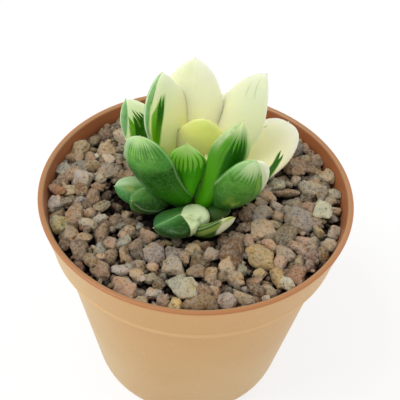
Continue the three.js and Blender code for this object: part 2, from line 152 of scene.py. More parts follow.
class Finish:
    """A material that is put together by adding nodes and passing their outputs on. The shader
    measures places in metres, so lengths in millimetres are multiplied by MM."""

    def __init__(self, name):
        self.material = bpy.data.materials.new(name)
        self.material.use_nodes = True
        self.nodes = self.material.node_tree.nodes
        self.links = self.material.node_tree.links
        self.shader = self.nodes["Principled BSDF"]
        self.place = self.nodes.new("ShaderNodeTexCoord").outputs["Object"]

    def feed(self, socket, value):
        """A number or colour is set on the socket, and another node's output is linked to it."""
        if isinstance(value, bpy.types.NodeSocket):
            self.links.new(value, socket)
        else:
            socket.default_value = value

    def set(self, **values):
        """Sockets of the shader, by name with _ for a space."""
        for name, value in values.items():
            self.feed(self.shader.inputs[name.replace("_", " ")], value)

    def math(self, operation, first, second=0.0, third=0.0):
        """One sum of numbers or outputs, by the name that the node gives to its kind."""
        node = self.nodes.new("ShaderNodeMath")
        node.operation = operation
        for socket, value in zip(node.inputs, (first, second, third)):
            self.feed(socket, value)
        return node.outputs[0]

    def plus(self, first, second):
        """The two added up."""
        return self.math("ADD", first, second)

    def less(self, first, second):
        """The first less the second."""
        return self.math("SUBTRACT", first, second)

    def times(self, first, second):
        """One multiplied by the other."""
        return self.math("MULTIPLY", first, second)

    def line(self, value, slope, start):
        """Start plus slope times the value."""
        return self.math("MULTIPLY_ADD", value, slope, start)

    def off(self, value):
        """How far the value is from 0, on either side."""
        return self.math("ABSOLUTE", value)

    def rise(self, value, low, high, start=0.0, end=1.0):
        """From start to end while the value goes from low to high, smooth at both ends."""
        node = self.nodes.new("ShaderNodeMapRange")
        node.interpolation_type = "SMOOTHSTEP"
        names = ("Value", "From Min", "From Max", "To Min", "To Max")
        for name, given in zip(names, (value, low, high, start, end)):
            self.feed(node.inputs[name], given)
        return node.outputs["Result"]

    def mix(self, share, first, second, blend="MIX"):
        """The first colour, with a share of the second laid over it."""
        node = self.nodes.new("ShaderNodeMix")
        node.data_type = "RGBA"
        node.blend_type = blend
        node.clamp_factor = True
        self.feed(node.inputs[0], share)
        self.feed(node.inputs[6], first)
        self.feed(node.inputs[7], second)
        return node.outputs[2]

    def noise(self, per_mm, detail=2.0, roughness=0.5, vector=None):
        """Soft random values about 0.5, in grains about 1 / per_mm millimetres across. With a
        vector of the maker's own, the scale is in that vector's units."""
        node = self.nodes.new("ShaderNodeTexNoise")
        node.inputs["Scale"].default_value = per_mm / MM if vector is None else per_mm
        node.inputs["Detail"].default_value = detail
        node.inputs["Roughness"].default_value = roughness
        self.feed(node.inputs["Vector"], self.place if vector is None else vector)
        return node.outputs[0]

    def cells(self, per_mm):
        """Distance to the nearest of many scattered points, 0 at a point."""
        node = self.nodes.new("ShaderNodeTexVoronoi")
        node.inputs["Scale"].default_value = per_mm / MM
        self.feed(node.inputs["Vector"], self.place)
        return node.outputs["Distance"]

    def chance(self, number):
        """A fixed random value from 0 to 1 for each whole number."""
        node = self.nodes.new("ShaderNodeTexWhiteNoise")
        node.noise_dimensions = "1D"
        self.feed(node.inputs["W"], number)
        return node.outputs["Value"]

    def value_of(self, name):
        """A number that the mesh carries on its points."""
        node = self.nodes.new("ShaderNodeAttribute")
        node.attribute_name = name
        return node.outputs["Fac"]

    def colour_of(self, name):
        """A colour that the mesh carries on its points."""
        node = self.nodes.new("ShaderNodeAttribute")
        node.attribute_name = name
        return node.outputs["Color"]

    def axes(self):
        """The place on the object as its x, y and z, in metres."""
        node = self.nodes.new("ShaderNodeSeparateXYZ")
        self.feed(node.inputs[0], self.place)
        return node.outputs[0], node.outputs[1], node.outputs[2]

    def vector(self, x, y, z):
        """Three numbers put together as one place."""
        node = self.nodes.new("ShaderNodeCombineXYZ")
        for socket, value in zip(node.inputs, (x, y, z)):
            self.feed(socket, value)
        return node.outputs[0]

    def bumps(self, height, depth_mm):
        """Small relief of the given depth where the height goes from 0 to 1."""
        node = self.nodes.new("ShaderNodeBump")
        node.inputs["Strength"].default_value = 1.0
        node.inputs["Distance"].default_value = depth_mm * MM
        self.feed(node.inputs["Height"], height)
        self.links.new(node.outputs["Normal"], self.shader.inputs["Normal"])


print("a finish can:", [name for name in vars(Finish) if not name.startswith("_")])

# %% [markdown]
# ## Meshes from arrays
#
# Two kinds of surface are enough for everything here. A *skin* is a grid whose columns close round
# and whose first and last rows shrink to a point, such as a leaf or a pot turned on its axis. A
# *crowd* is one small grid repeated with other sizes and places, such as the stones.

# %% From arrays to a piece


def make_piece(name, points, faces, finish, slot, node, values=None, colours=None, crisp=None):
    """A mesh from points in millimetres and lists of corners, with numbers and colours carried on
    its points. It is shaded smooth, but crisp where it turns by more than so many degrees."""
    mesh = bpy.data.meshes.new(name)
    mesh.from_pydata((np.asarray(points, float) * MM).tolist(), [], faces)
    mesh.update()
    mesh.polygons.foreach_set("use_smooth", np.ones(len(mesh.polygons), bool))
    if crisp is not None:
        mesh.set_sharp_from_angle(angle=np.radians(crisp))
    for key, numbers in (values or {}).items():
        layer = mesh.attributes.new(key, "FLOAT", "POINT")
        layer.data.foreach_set("value", np.asarray(numbers, np.float32).ravel())
    for key, numbers in (colours or {}).items():
        layer = mesh.attributes.new(key, "FLOAT_COLOR", "POINT")
        layer.data.foreach_set("color", np.asarray(numbers, np.float32).ravel())
    mesh.materials.append(finish.material)
    piece = bpy.data.objects.new(name, mesh)
    bpy.context.collection.objects.link(piece)
    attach(piece, "root")
    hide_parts(node)
    return piece


def skin_faces(rows, columns):
    """Corners of a skin: a fan at the first point, quads between the rows, a fan at the last."""
    ring = np.arange(columns)
    after = (ring + 1) % columns
    last = 1 + rows * columns
    first_fan = np.stack([np.zeros_like(ring), 1 + after, 1 + ring], axis=1)
    base = 1 + columns * np.arange(rows - 1)[:, None]
    quads = np.stack(
        [base + ring, base + after, base + columns + after, base + columns + ring], axis=-1
    ).reshape(-1, 4)
    end = 1 + (rows - 1) * columns
    last_fan = np.stack([end + ring, end + after, np.full_like(ring, last)], axis=1)
    return first_fan.tolist() + quads.tolist() + last_fan.tolist()


def turned_skin(profile, columns, start=0.0):
    """Points of a profile of [radius, height] carried round the Z axis, with its ends on the axis:
    at each angle x is the radius times its cosine, and y the radius times its sine."""
    angle = start + 2 * np.pi * np.arange(columns) / columns
    inner = profile[1:-1]
    rings = np.stack(
        [
            inner[:, :1] * np.cos(angle),
            inner[:, :1] * np.sin(angle),
            np.repeat(inner[:, 1:], columns, axis=1),
        ],
        axis=-1,
    ).reshape(-1, 3)
    ends = np.zeros((2, 3))
    ends[:, 2] = profile[[0, -1], 1]
    points = np.concatenate([ends[:1], rings, ends[1:]])
    return points, skin_faces(len(inner), columns)


def smooth_rise(x):
    """0 below 0, 1 above 1, and 3x2 - 2x3 between, which is level at both ends."""
    t = np.clip(x, 0.0, 1.0)
    return t * t * (3.0 - 2.0 * t)


print("a skin of 2 rows and 3 columns has", len(skin_faces(2, 3)), "faces")

# %% [markdown]
# ## Pot
#
# The pot is injection moulded in one shot of tan plastic: a thin tapering wall, a taller collar
# that strengthens the rim, a rounded lip and a raised foot with drainage holes. It could be lathed
# with a Screw modifier. Here the profile is written down as the mould maker would draw it, rounded
# at its corners, and carried round the axis.

# %% Pot sizes, as in the solid
RIM_HEIGHT = 54.0
FOOT_RADIUS, FOOT_HEIGHT, FOOT_WIDTH = 23.5, 1.5, 1.6
FLOOR_THICKNESS, WALL = 1.5, 1.2
WAIST_RADIUS, COLLAR_HEIGHT = 29.4, 9.8
COLLAR_RADIUS, RIM_RADIUS = 30.7, 32.5
CORNER, INSIDE_CORNER, LEDGE_RISE = 1.2, 1.5, 0.3
HOLE_RADIUS, HOLE_COUNT, HOLE_CIRCLE = 2.6, 6, 13.0

COLLAR_BOTTOM = RIM_HEIGHT - COLLAR_HEIGHT
LEDGE = np.array([COLLAR_BOTTOM + LEDGE_RISE, COLLAR_BOTTOM + LEDGE_RISE + WALL])
FLOOR_TOP = FOOT_HEIGHT + FLOOR_THICKNESS
print("pot: rim", 2 * RIM_RADIUS, "mm across,", RIM_HEIGHT, "mm high, wall", WALL, "mm")

# %% Pot's outline, from the middle of the underside round to the middle of the floor
# The collar's lower edge is a small bead, too fine for the solid.
BEAD, BEAD_HEIGHT, BEAD_FADE = 0.18, 0.5, 0.9
# The point past each end of a rounding, as a multiple of the corner's cut.
PAST_CURVE = 1.3
# Points nearer than the one are left out, and steps longer than the other are divided.
SHORTEST_STEP, LONGEST_STEP = 0.01, 2.0


def inside_radius(height):
    """Radius of the pot's inside: the outside's two tapers less the wall. Between the two heights
    of the ledge it goes over from the body's taper to the collar's."""
    collar = np.interp(height, [COLLAR_BOTTOM, RIM_HEIGHT], [COLLAR_RADIUS, RIM_RADIUS])
    body = np.interp(height, [0.0, COLLAR_BOTTOM], [FOOT_RADIUS, WAIST_RADIUS])
    step = np.interp(height, LEDGE, [0.0, 1.0])
    return body + (collar - body) * step - WALL


def towards(corner, other, distance):
    """The point so far from a corner towards another, but no further than half-way."""
    return corner + (other - corner) * min(distance / np.linalg.norm(other - corner), 0.5)


def rounded(rows, steps=5):
    """A line through rows of radius, height and cut. Each corner is rounded by a curve of three
    points: the corner itself, and the places so far before and after it as its cut says. A point
    just past each end of the curve keeps the flats beside it flat when shaded smooth."""
    rows = np.asarray(rows, float)
    corners, cuts = rows[:, :2], rows[:, 2]
    line = [corners[:1]]
    t = np.linspace(0.0, 1.0, steps)[:, None]
    for before, corner, after, cut in zip(corners, corners[1:], corners[2:], cuts[1:]):
        start, end = towards(corner, before, cut), towards(corner, after, cut)
        line.append(towards(corner, before, PAST_CURVE * cut)[None])
        line.append((1 - t) ** 2 * start + 2 * t * (1 - t) * corner + t**2 * end)
        line.append(towards(corner, after, PAST_CURVE * cut)[None])
    line = np.concatenate([*line, corners[-1:]])
    apart = np.linalg.norm(np.diff(line, axis=0), axis=1)
    return line[np.append(True, apart > SHORTEST_STEP)]


def filled_in(line, longest):
    """The same line with a point at least every so many millimetres."""
    steps = np.linalg.norm(np.diff(line, axis=0), axis=1)
    away = np.concatenate([[0.0], np.cumsum(steps)])
    counts = np.maximum(np.ceil(steps / longest).astype(int), 1)
    stops = [np.linspace(a, b, n, endpoint=False) for a, b, n in zip(away, away[1:], counts)]
    at = np.append(np.concatenate(stops), away[-1])
    return np.stack([np.interp(at, away, line[:, 0]), np.interp(at, away, line[:, 1])], axis=1)


def pot_profile():
    """Middle of the underside, foot ring, outside, lip, inside and middle of the floor."""
    foot_outside = FOOT_RADIUS - CORNER / 2
    foot_inside = foot_outside - FOOT_WIDTH
    rows = [
        # radius, height, cut
        (0.0, FOOT_HEIGHT, 0.0),
        (foot_inside - WALL / 2, FOOT_HEIGHT, 0.4),
        (foot_inside, 0.0, 0.25),
        (foot_outside, 0.0, 0.4),
        (FOOT_RADIUS, CORNER, 2.0),
        (WAIST_RADIUS, COLLAR_BOTTOM, 0.2),
        (COLLAR_RADIUS + BEAD, COLLAR_BOTTOM, 0.15),
        (COLLAR_RADIUS + BEAD, COLLAR_BOTTOM + BEAD_HEIGHT, 0.2),
        (COLLAR_RADIUS + 0.1, COLLAR_BOTTOM + BEAD_FADE, 0.1),
        (RIM_RADIUS, RIM_HEIGHT, 0.55),
        (RIM_RADIUS - WALL, RIM_HEIGHT, 0.6),
        (inside_radius(LEDGE[1]), LEDGE[1], 0.6),
        (inside_radius(LEDGE[0]), LEDGE[0], 0.8),
        (inside_radius(FLOOR_TOP), FLOOR_TOP, 0.8),
        (0.0, FLOOR_TOP, 0.0),
    ]
    return filled_in(rounded(rows), LONGEST_STEP)


print("pot profile:", len(pot_profile()), "points")

# %% [markdown]
# ### Pot finish
#
# The plastic is coloured right through, with a dull sheen. Outside it holds dust, and carries
# painted light on its left side, a pale band painted to lift the shadow under the collar and a
# painted highlight on the bead. Inside it is painted a deeper orange as shade, and the lip is a
# warmer orange.
# Painted masks could tell the places apart. Here the shader works out from a point's height and
# distance from the axis which place it is in, so every edge between two shades follows the shape
# exactly.

# %% Pot finish
TAN, LIGHT_TAN, COLLAR_TAN = ink(193, 150, 86), ink(198, 159, 98), ink(200, 150, 80)
# Dust, and painted light for the left side of the pot.
DUST, LEFT_SIDE_LIGHT = ink(212, 196, 160), ink(206, 196, 140)
# A pale band painted to lift the shadow under the collar, and a painted highlight on the bead.
UNDER_COLLAR_LIGHT, BEAD_HIGHLIGHT = ink(232, 196, 136), ink(216, 176, 122)
# Painted shade for the inside of the pot, and the lip's two oranges.
INSIDE_SHADE, LIP_OUTSIDE, LIP_INSIDE = ink(158, 94, 54), ink(168, 126, 86), ink(170, 112, 64)
# Heights between which the tan grows warmer, and places on X between which painted light
# lies on the left side.
WARMER, LEFT_LIGHT_SPAN = (10.0, 50.0), (-8.0, -27.0)
# Painted stripes by height over the waist, a pale one that lifts the shadow under the collar
# and a highlight on the bead: middle, where it is full, where it has faded, strength.
COLLAR_LIGHT_STRIPE, BEAD_HIGHLIGHT_STRIPE = (-1.8, 0.0, 1.8, 0.3), (BEAD_HEIGHT, 0.3, 0.6, 0.7)
# The lip's shades begin and are full so far below the rim, and so far in from its outside.
LIP_DEPTH, LIP_WIDTH = (0.5, 0.2), (0.9, 0.55)


def stripe(skin, value, middle, flat, fade, strength):
    """The strength on a stripe and 0 beside it: full up to one distance from the stripe's middle,
    and faded away at another, in millimetres."""
    away = skin.off(skin.less(value, middle * MM))
    return skin.rise(away, flat * MM, fade * MM, strength, 0.0)


def mid_wall(skin, height, over_waist):
    """Radius of the middle of the wall: it grows with the height at the body's taper, and above
    the waist at the collar's."""
    body_taper = (WAIST_RADIUS - FOOT_RADIUS) / COLLAR_BOTTOM
    collar_taper = (RIM_RADIUS - COLLAR_RADIUS) / COLLAR_HEIGHT
    body = skin.line(height, body_taper, (FOOT_RADIUS - WALL / 2) * MM)
    collar = skin.line(over_waist, collar_taper, (COLLAR_RADIUS - WALL / 2) * MM)
    in_collar = skin.math("GREATER_THAN", over_waist, 0.0)
    return skin.line(in_collar, skin.less(collar, body), body)


def pot_finish():
    """Tan moulded plastic: outside almost even, with a sheen, dust and scuffs, painted light on the
    left side, a pale band that lifts the shadow under the collar and a painted highlight on the
    bead.
    Inside it is painted a darker, warmer orange as shade, and the lip is a warmer orange. Inside is
    where a point lies nearer the axis than mid-wall."""
    skin = Finish("tan_plastic")
    x, y, height = skin.axes()
    away = skin.math("SQRT", skin.plus(skin.math("POWER", x, 2), skin.math("POWER", y, 2)))
    over_waist = skin.less(height, COLLAR_BOTTOM * MM)
    inner = skin.rise(skin.less(mid_wall(skin, height, over_waist), away), -0.1 * MM, 0.3 * MM)
    # Wide clouds of two tans, warmer towards the collar.
    cloud = skin.noise(0.05, 3)
    shade = skin.mix(skin.rise(cloud, 0.35, 0.7), TAN, LIGHT_TAN)
    shade = skin.mix(skin.rise(height, WARMER[0] * MM, WARMER[1] * MM), shade, COLLAR_TAN)
    # Grains of dust, and painted light in clouds on the left side.
    dust = skin.rise(skin.noise(0.9, 4, 0.65), 0.58, 0.75, 0.0, 0.3)
    shade = skin.mix(dust, shade, DUST)
    left_light = skin.rise(x, LEFT_LIGHT_SPAN[0] * MM, LEFT_LIGHT_SPAN[1] * MM, 0.0, 0.2)
    left_light = skin.times(left_light, skin.rise(cloud, 0.25, 0.55, 0.4, 1.0))
    shade = skin.mix(left_light, shade, LEFT_SIDE_LIGHT)
    # A pale stripe painted below the collar to lift its shadow, and a painted highlight on its
    # bead.
    shade = skin.mix(stripe(skin, over_waist, *COLLAR_LIGHT_STRIPE), shade, UNDER_COLLAR_LIGHT)
    shade = skin.mix(stripe(skin, over_waist, *BEAD_HIGHLIGHT_STRIPE), shade, BEAD_HIGHLIGHT)
    # Painted shade on the inside, and the lip with a paler outer edge.
    shade = skin.mix(inner, shade, INSIDE_SHADE)
    lip = skin.rise(height, *((RIM_HEIGHT - depth) * MM for depth in LIP_DEPTH))
    outer = skin.rise(away, *((RIM_RADIUS - width) * MM for width in LIP_WIDTH))
    shade = skin.mix(lip, shade, skin.mix(outer, LIP_OUTSIDE, LIP_INSIDE))
    scratches = skin.noise(6.0, 2)
    skin.set(
        Base_Color=shade,
        Roughness=skin.rise(scratches, 0.3, 0.7, 0.36, 0.5),
        Sheen_Weight=0.08,
        Sheen_Roughness=0.45,
        Sheen_Tint=(1.0, 0.98, 0.76, 1.0),
        Subsurface_Weight=0.12,
        Subsurface_Radius=(1.0, 0.55, 0.25),
        Subsurface_Scale=0.003,
    )
    skin.bumps(skin.plus(scratches, skin.noise(0.5, 3)), 0.02)
    return skin


POT_FINISH = pot_finish()
print("pot finish:", len(POT_FINISH.nodes), "nodes")

# %% [markdown]
# ### Drainage holes
#
# The mould leaves a ring of round holes in the floor of the pot. They could be left out of the mesh
# and painted dark, but the pot may be looked at from below. A Boolean modifier takes six short
# cylinders out of the finished pot. Each is turned by half a facet, so that no corner of it falls
# on a corner of the pot, and the mesh stays closed.

# %% Pot with its drainage holes
POT_COLUMNS, DRILL_COLUMNS = 160, 32
DRILL_BOTTOM, DRILL_TOP = -1.0, 5.0


def drilled(piece, tool_points, tool_faces):
    """The piece less a tool, by a Boolean modifier that is applied at once."""
    tool_mesh = bpy.data.meshes.new("drill")
    tool_mesh.from_pydata((tool_points * MM).tolist(), [], tool_faces)
    tool = bpy.data.objects.new("drill", tool_mesh)
    bpy.context.collection.objects.link(tool)
    cut = piece.modifiers.new("holes", "BOOLEAN")
    cut.object = tool
    cut.operation = "DIFFERENCE"
    cut.solver = "EXACT"
    bpy.context.view_layer.update()
    ready = piece.evaluated_get(bpy.context.evaluated_depsgraph_get())
    holed = bpy.data.meshes.new_from_object(ready)
    piece.modifiers.clear()
    piece.data = holed
    bpy.data.objects.remove(tool)
    return piece


def drills():
    """The six cylinders as one set of points and faces."""
    length = DRILL_TOP - DRILL_BOTTOM
    profile = np.array([[0, 0], [HOLE_RADIUS, 0], [HOLE_RADIUS, length], [0, length]], float)
    points, faces = turned_skin(profile, DRILL_COLUMNS, np.pi / DRILL_COLUMNS)
    angle = 2 * np.pi * np.arange(HOLE_COUNT) / HOLE_COUNT
    places = HOLE_CIRCLE * np.stack([np.cos(angle), np.sin(angle), 0 * angle], axis=1)
    spread = (places[:, None] + points[None] + [0, 0, DRILL_BOTTOM]).reshape(-1, 3)
    counts = len(points) * np.arange(HOLE_COUNT)
    return spread, [[corner + n for corner in face] for n in counts.tolist() for face in faces]


pot_skin = turned_skin(pot_profile(), POT_COLUMNS)
pot = make_piece("pot_shell", *pot_skin, POT_FINISH, "pot_plastic", "pot")
drilled(pot, *drills())
print("pot:", len(pot.data.polygons), "faces")

# %% [markdown]
# ## Leaves
#
# A haworthia's leaf is a fat, water-filled tongue: flat or slightly domed on the face that looks to
# the middle of the rosette, and rounded with a soft keel on its back. It could be sculpted one by
# one. A formula is better here, because every leaf is the same kind of thing with other numbers: a
# curved middle line from root to tip, a width and two thicknesses that change along it, and a
# section that is half a flat oval and half a keeled one.

# %% The leaves' numbers, as in the solids, in millimetres and degrees
# Only the tall cream, right cream and left striped leaf are wider here, by 0.3 to 0.7 mm.
STEM_CENTRE = np.array([-0.5, 2.0])
LEAVES = {
    # name: root (direction, distance, height), tip, where its back looks,
    #       size (width, over, under), bend (bow, side bow, hook),
    #       form (tip's bluntness, where the tip starts, root width, widest place), roll
    "leaf_heart_left": (
        (190, 1.6, 53.2), (-2.6, 2.4, 60.5), 185,
        (4.4, 1.1, 1.7), (0.6, 0.0, 0.0), (0.62, 0.45, 0.70, 0.55), 0,
    ),
    "leaf_heart_right": (
        (15, 1.6, 53.2), (1.7, 2.6, 59.6), 15,
        (4.6, 1.1, 1.7), (0.6, 0.0, 0.0), (0.62, 0.45, 0.70, 0.55), 0,
    ),
    "leaf_green_centre": (
        (260, 3.5, 52.5), (-3.0, -1.5, 66.0), 265,
        (7.7, 1.8, 2.6), (0.4, 0.3, 0.6), (1.17, 0.73, 0.30, 0.72), 6,
    ),
    "leaf_yellow_inner": (
        (95, 2.2, 53.0), (0.1, 5.5, 66.9), 85,
        (11.3, 1.8, 2.6), (0.8, 0.7, -0.9), (0.53, 0.42, 0.72, 0.63), -8,
    ),
    "leaf_green_right": (
        (286, 4.4, 50.3), (7.6, -3.0, 73.6), 300,
        (8.4, 2.6, 3.2), (0.4, 1.2, 0.2), (1.17, 0.60, 0.42, 0.82), 33,
    ),
    "leaf_green_left": (
        (242, 3.9, 51.5), (-12.1, -7.0, 71.9), 232,
        (11.3, 2.6, 3.6), (2.0, -1.4, 1.5), (0.48, 0.53, 0.53, 0.73), -19,
    ),
    "leaf_cream_tall": (
        (100, 3.6, 52.5), (-2.3, 13.5, 75.5), 95,
        (14.4, 2.0, 3.2), (2.5, 1.2, -0.5), (0.63, 0.46, 0.62, 0.62), -3,
    ),
    "leaf_striped_left": (
        (130, 4.0, 52.0), (-6.9, 8.0, 76.0), 140,
        (12.2, 2.2, 3.4), (2.5, 1.3, 1.5), (0.80, 0.56, 0.53, 0.61), 0,
    ),
    "leaf_cream_right": (
        (36, 4.5, 52.0), (12.6, 11.0, 74.3), 60,
        (12.7, 2.0, 3.0), (2.8, 2.3, 0.3), (0.79, 0.47, 0.68, 0.79), 8,
    ),
    "leaf_plump_right": (
        (327, 5.2, 51.0), (11.0, -9.0, 69.2), 300,
        (9.7, 2.8, 4.0), (1.5, 1.5, -0.5), (0.40, 0.36, 0.50, 0.46), 24,
    ),
    "leaf_cream_behind": (
        (61, 4.5, 51.5), (4.7, 16.0, 65.7), 62,
        (9.5, 2.0, 3.0), (2.5, -0.4, -0.4), (0.64, 0.48, 0.62, 0.62), 0,
    ),
    "leaf_cream_broad": (
        (11, 5.2, 51.0), (18.8, 16.0, 59.2), 60,
        (14.5, 2.0, 3.0), (0.6, -1.3, -0.4), (0.36, 0.32, 0.69, 0.73), 9,
    ),
    # This one lies on its neighbours' bases, so it starts further out here than in the solid.
    "leaf_low_front": (
        (288, 7.8, 52.2), (-8.1, -12.0, 53.2), 254,
        (11.2, 2.0, 3.4), (1.3, 0.1, 0.6), (0.90, 0.63, 0.60, 0.70), 12,
    ),
    "leaf_striped_low": (
        (147, 4.8, 51.0), (-14.5, 11.0, 67.4), 150,
        (11.0, 2.0, 3.0), (2.5, -0.3, 1.6), (0.71, 0.49, 0.64, 0.57), 8,
    ),
    "leaf_low_left": (
        (194, 4.4, 50.5), (-17.0, -1.0, 52.4), 165,
        (7.3, 2.2, 2.6), (2.5, 0.7, -0.4), (0.54, 0.37, 0.63, 0.58), -1,
    ),
    "leaf_low_front_left": (
        (209, 5.0, 50.8), (-13.0, -8.0, 56.8), 215,
        (6.5, 2.6, 3.0), (2.5, 0.1, 0.9), (0.63, 0.34, 0.53, 0.50), 3,
    ),
    "leaf_small": (
        (265, 5.2, 50.4), (7.9, -9.6, 53.5), 317,
        (5.8, 1.4, 1.8), (2.9, -7.9, -1.8), (0.31, 0.68, 0.68, 0.57), 30,
    ),
    "leaf_back_right": (
        (50, 5.0, 50.8), (6.5, 19.0, 58.5), 72,
        (9.5, 2.2, 2.8), (2.0, 0.0, 0.0), (0.60, 0.45, 0.62, 0.60), 0,
    ),
    "leaf_back_middle": (
        (105, 5.0, 50.8), (-5.0, 19.5, 60.0), 105,
        (10.5, 2.2, 2.8), (2.0, 0.0, 0.0), (0.60, 0.45, 0.62, 0.60), 0,
    ),
    "leaf_back_left": (
        (160, 5.0, 50.8), (-14.5, 13.5, 58.5), 140,
        (9.5, 2.2, 2.8), (2.0, 0.0, 0.0), (0.60, 0.45, 0.62, 0.60), 0,
    ),
    # The stub of an old leaf, seen between the front leaves, is in no solid: it is the stem's.
    "old_base": (
        (310, 4.6, 50.0), (5.6, -6.6, 51.2), 310,
        (7.0, 2.0, 2.4), (0.4, 0.0, 0.0), (0.50, 0.40, 0.90, 0.50), 0,
    ),
}
LEAF_ROWS, LEAF_COLUMNS = 60, 56
print("leaves, with the stub:", len(LEAVES))

# %% A leaf's middle line and its rings
# Where each change along the leaf begins and the share of the length that it takes.
HOOK_FROM, HOOK_SPAN = 0.45, 0.55
THIN_FROM, THIN_SPAN = 0.35, 0.65
KEEL_FROM, KEEL_SPAN, KEEL = 0.25, 0.6, 0.35
ROOT_THICKNESS, THICK_AT = 0.8, 0.45
# Powers: how blunt the thickness ends, and how boxy the section is over and under the line.
THIN_POWER, OVER_POWER, UNDER_POWER = 0.62, 1.15, 1.1
BACK_SLOPE, INWARD_SLOPE = -0.55, -0.9
# Share of the length in which the root end rounds off.
INNER_END = 0.05
LONG_INNER_END = {"leaf_low_front": 0.15}


def heading(angle, height=0.0):
    """A vector that points along an angle from +X, with a height of its own."""
    turn = np.radians(angle)
    return np.array([np.cos(turn), np.sin(turn), height])


def unit(vectors):
    """The same directions with a length of 1."""
    return vectors / np.linalg.norm(vectors, axis=-1, keepdims=True)


def leaf_line(leaf, along):
    """The middle line and its direction: a curve of three points, root, bowed middle and tip."""
    (angle, distance, height), tip, faces, _, (bow, side_bow, _), _, _ = leaf
    root = distance * heading(angle) + np.array([*STEM_CENTRE, height])
    tip = np.array(tip, float)
    bowed = bow * unit(heading(faces, BACK_SLOPE)) + side_bow * heading(faces + 90)
    middle = (root + tip) / 2 + bowed
    t = along[:, None]
    line = (1 - t) ** 2 * root + 2 * t * (1 - t) * middle + t**2 * tip
    ahead = unit(2 * (1 - t) * (middle - root) + 2 * t * (tip - middle))
    return line, ahead


def leaf_points(leaf, along, angle, inner_end=INNER_END):
    """A ring of points round each place on the middle line. Over the line the section is a flat
    oval, and under it the oval is drawn in to a keel towards the tip. The width swells from the
    root and closes at the tip as a power of 1 - x2."""
    _, _, faces, (width, over, under), (_, _, hook), form, roll = leaf
    bluntness, tip_start, root_width, widest = form
    line, ahead = leaf_line(leaf, along)
    inward = -heading(faces, INWARD_SLOPE)
    up = unit(inward - (ahead @ inward)[:, None] * ahead)
    across = np.cross(up, ahead)
    turn = np.radians(roll)
    up, across = (
        up * np.cos(turn) + across * np.sin(turn),
        across * np.cos(turn) - up * np.sin(turn),
    )
    line = line + (hook * smooth_rise((along - HOOK_FROM) / HOOK_SPAN))[:, None] * across
    tip_cap = (1 - np.clip((along - tip_start) / (1 - tip_start), 0, 1) ** 2) ** bluntness
    neck = root_width + (1 - root_width) * smooth_rise(along / widest)
    root_cap = np.sqrt(1 - (1 - np.clip(along / inner_end, 0, 1)) ** 2)
    half = width / 2 * neck * tip_cap * root_cap
    thin = (1 - np.clip((along - THIN_FROM) / THIN_SPAN, 0, 1) ** 2) ** THIN_POWER
    swell = ROOT_THICKNESS + (1 - ROOT_THICKNESS) * smooth_rise(along / THICK_AT)
    thick = (swell * thin * root_cap)[:, None]
    keel = (KEEL * smooth_rise((along - KEEL_FROM) / KEEL_SPAN))[:, None]
    x, y = np.cos(angle)[None], np.sin(angle)[None]
    back = (1 - keel) * np.abs(y) ** UNDER_POWER + keel * (1 - np.abs(x))
    height = np.where(y >= 0, over * thick * np.abs(y) ** OVER_POWER, -under * thick * back)
    sideways = (half[:, None] * x)[..., None] * across[:, None]
    return line[:, None] + sideways + height[..., None] * up[:, None]


sample = leaf_points(LEAVES["leaf_cream_tall"], np.array([0.6]), np.array([0.0, np.pi]))
print("tall cream leaf:", round(float(np.linalg.norm(sample[0, 0] - sample[0, 1])), 1), "mm wide")

# %% [markdown]
# ## Leaf finish
#
# The tissue holds little green where the plant is variegated, so such a leaf is cream and glows
# where light passes. Where it is green, the colour stops short of the tip in a row of fingers,
# because the tip is a clear window that lets light in between dark veins. A painted texture could
# hold this. Here each leaf carries two numbers on its points, how far along and how far across a
# point lies, and the fingers are worked out from them in the shader.

# %% Patterns on a leaf
# What a band of fingers has where its row says nothing else.
PLAIN_COMB = {
    "low": -1.0, "lines": 8, "taper": 0.2, "ragged": 0.15, "soft": 0.08, "full": 1.2, "wavy": 0.6,
}
PLAIN_PATCH = {"soft": 0.05, "wavy": 0.06}


def lean(skin, slopes, across, along, shift):
    """The first slope x across, plus the second x along, plus a shift."""
    return skin.line(across, slopes[0], skin.line(along, slopes[1], shift))


def comb(skin, along, across, wander, row):
    """A band of colour that ends in fingers. The band is split into lines. Each line is as wide as
    its share at first, and narrows to a point at a length of its own. The band may lean: its
    middle goes from one place across at the root to another at the tip."""
    row = {**PLAIN_COMB, **row}
    low_middle, high_middle = row["middle"]
    low_half, high_half = row["half"]
    offset = lean(skin, (1.0, low_middle - high_middle), across, along, -low_middle)
    half = skin.line(along, high_half - low_half, low_half)
    line = skin.line(offset, row["lines"] / 2, skin.times(wander, row["wavy"]))
    luck = skin.chance(skin.math("FLOOR", line))
    own_top = skin.line(luck, row["ragged"], row["top"] - row["ragged"] / 2)
    off_middle = skin.off(skin.line(skin.math("FRACT", line), 2.0, -1.0))
    width = skin.math("DIVIDE", skin.less(own_top, along), row["taper"])
    width = skin.math("MINIMUM", width, row["full"])
    pointed = skin.rise(skin.less(width, off_middle), -0.1, 0.15)
    room = skin.less(half, skin.off(offset))
    inside = skin.rise(skin.line(wander, 0.1, room), -row["soft"], row["soft"])
    begun = skin.rise(along, row["low"] - 0.08, row["low"] + 0.08)
    return skin.times(skin.times(pointed, inside), begun)


def patch(skin, along, across, wander, row):
    """A patch with straight sides: inside, across x a + along x b + c is above 0 for each side.
    The least of those sums says how far inside a place is."""
    row = {**PLAIN_PATCH, **row}
    reach = None
    for a, b, c in row["sides"]:
        side = lean(skin, (a, b), across, along, c)
        reach = side if reach is None else skin.math("MINIMUM", reach, side)
    reach = skin.line(wander, row["wavy"], reach)
    return skin.rise(reach, -row["soft"], row["soft"])


print("a band has", len(PLAIN_COMB), "numbers that may be left out, a patch", len(PLAIN_PATCH))

# %% Layers of a leaf's look
OPEN = None


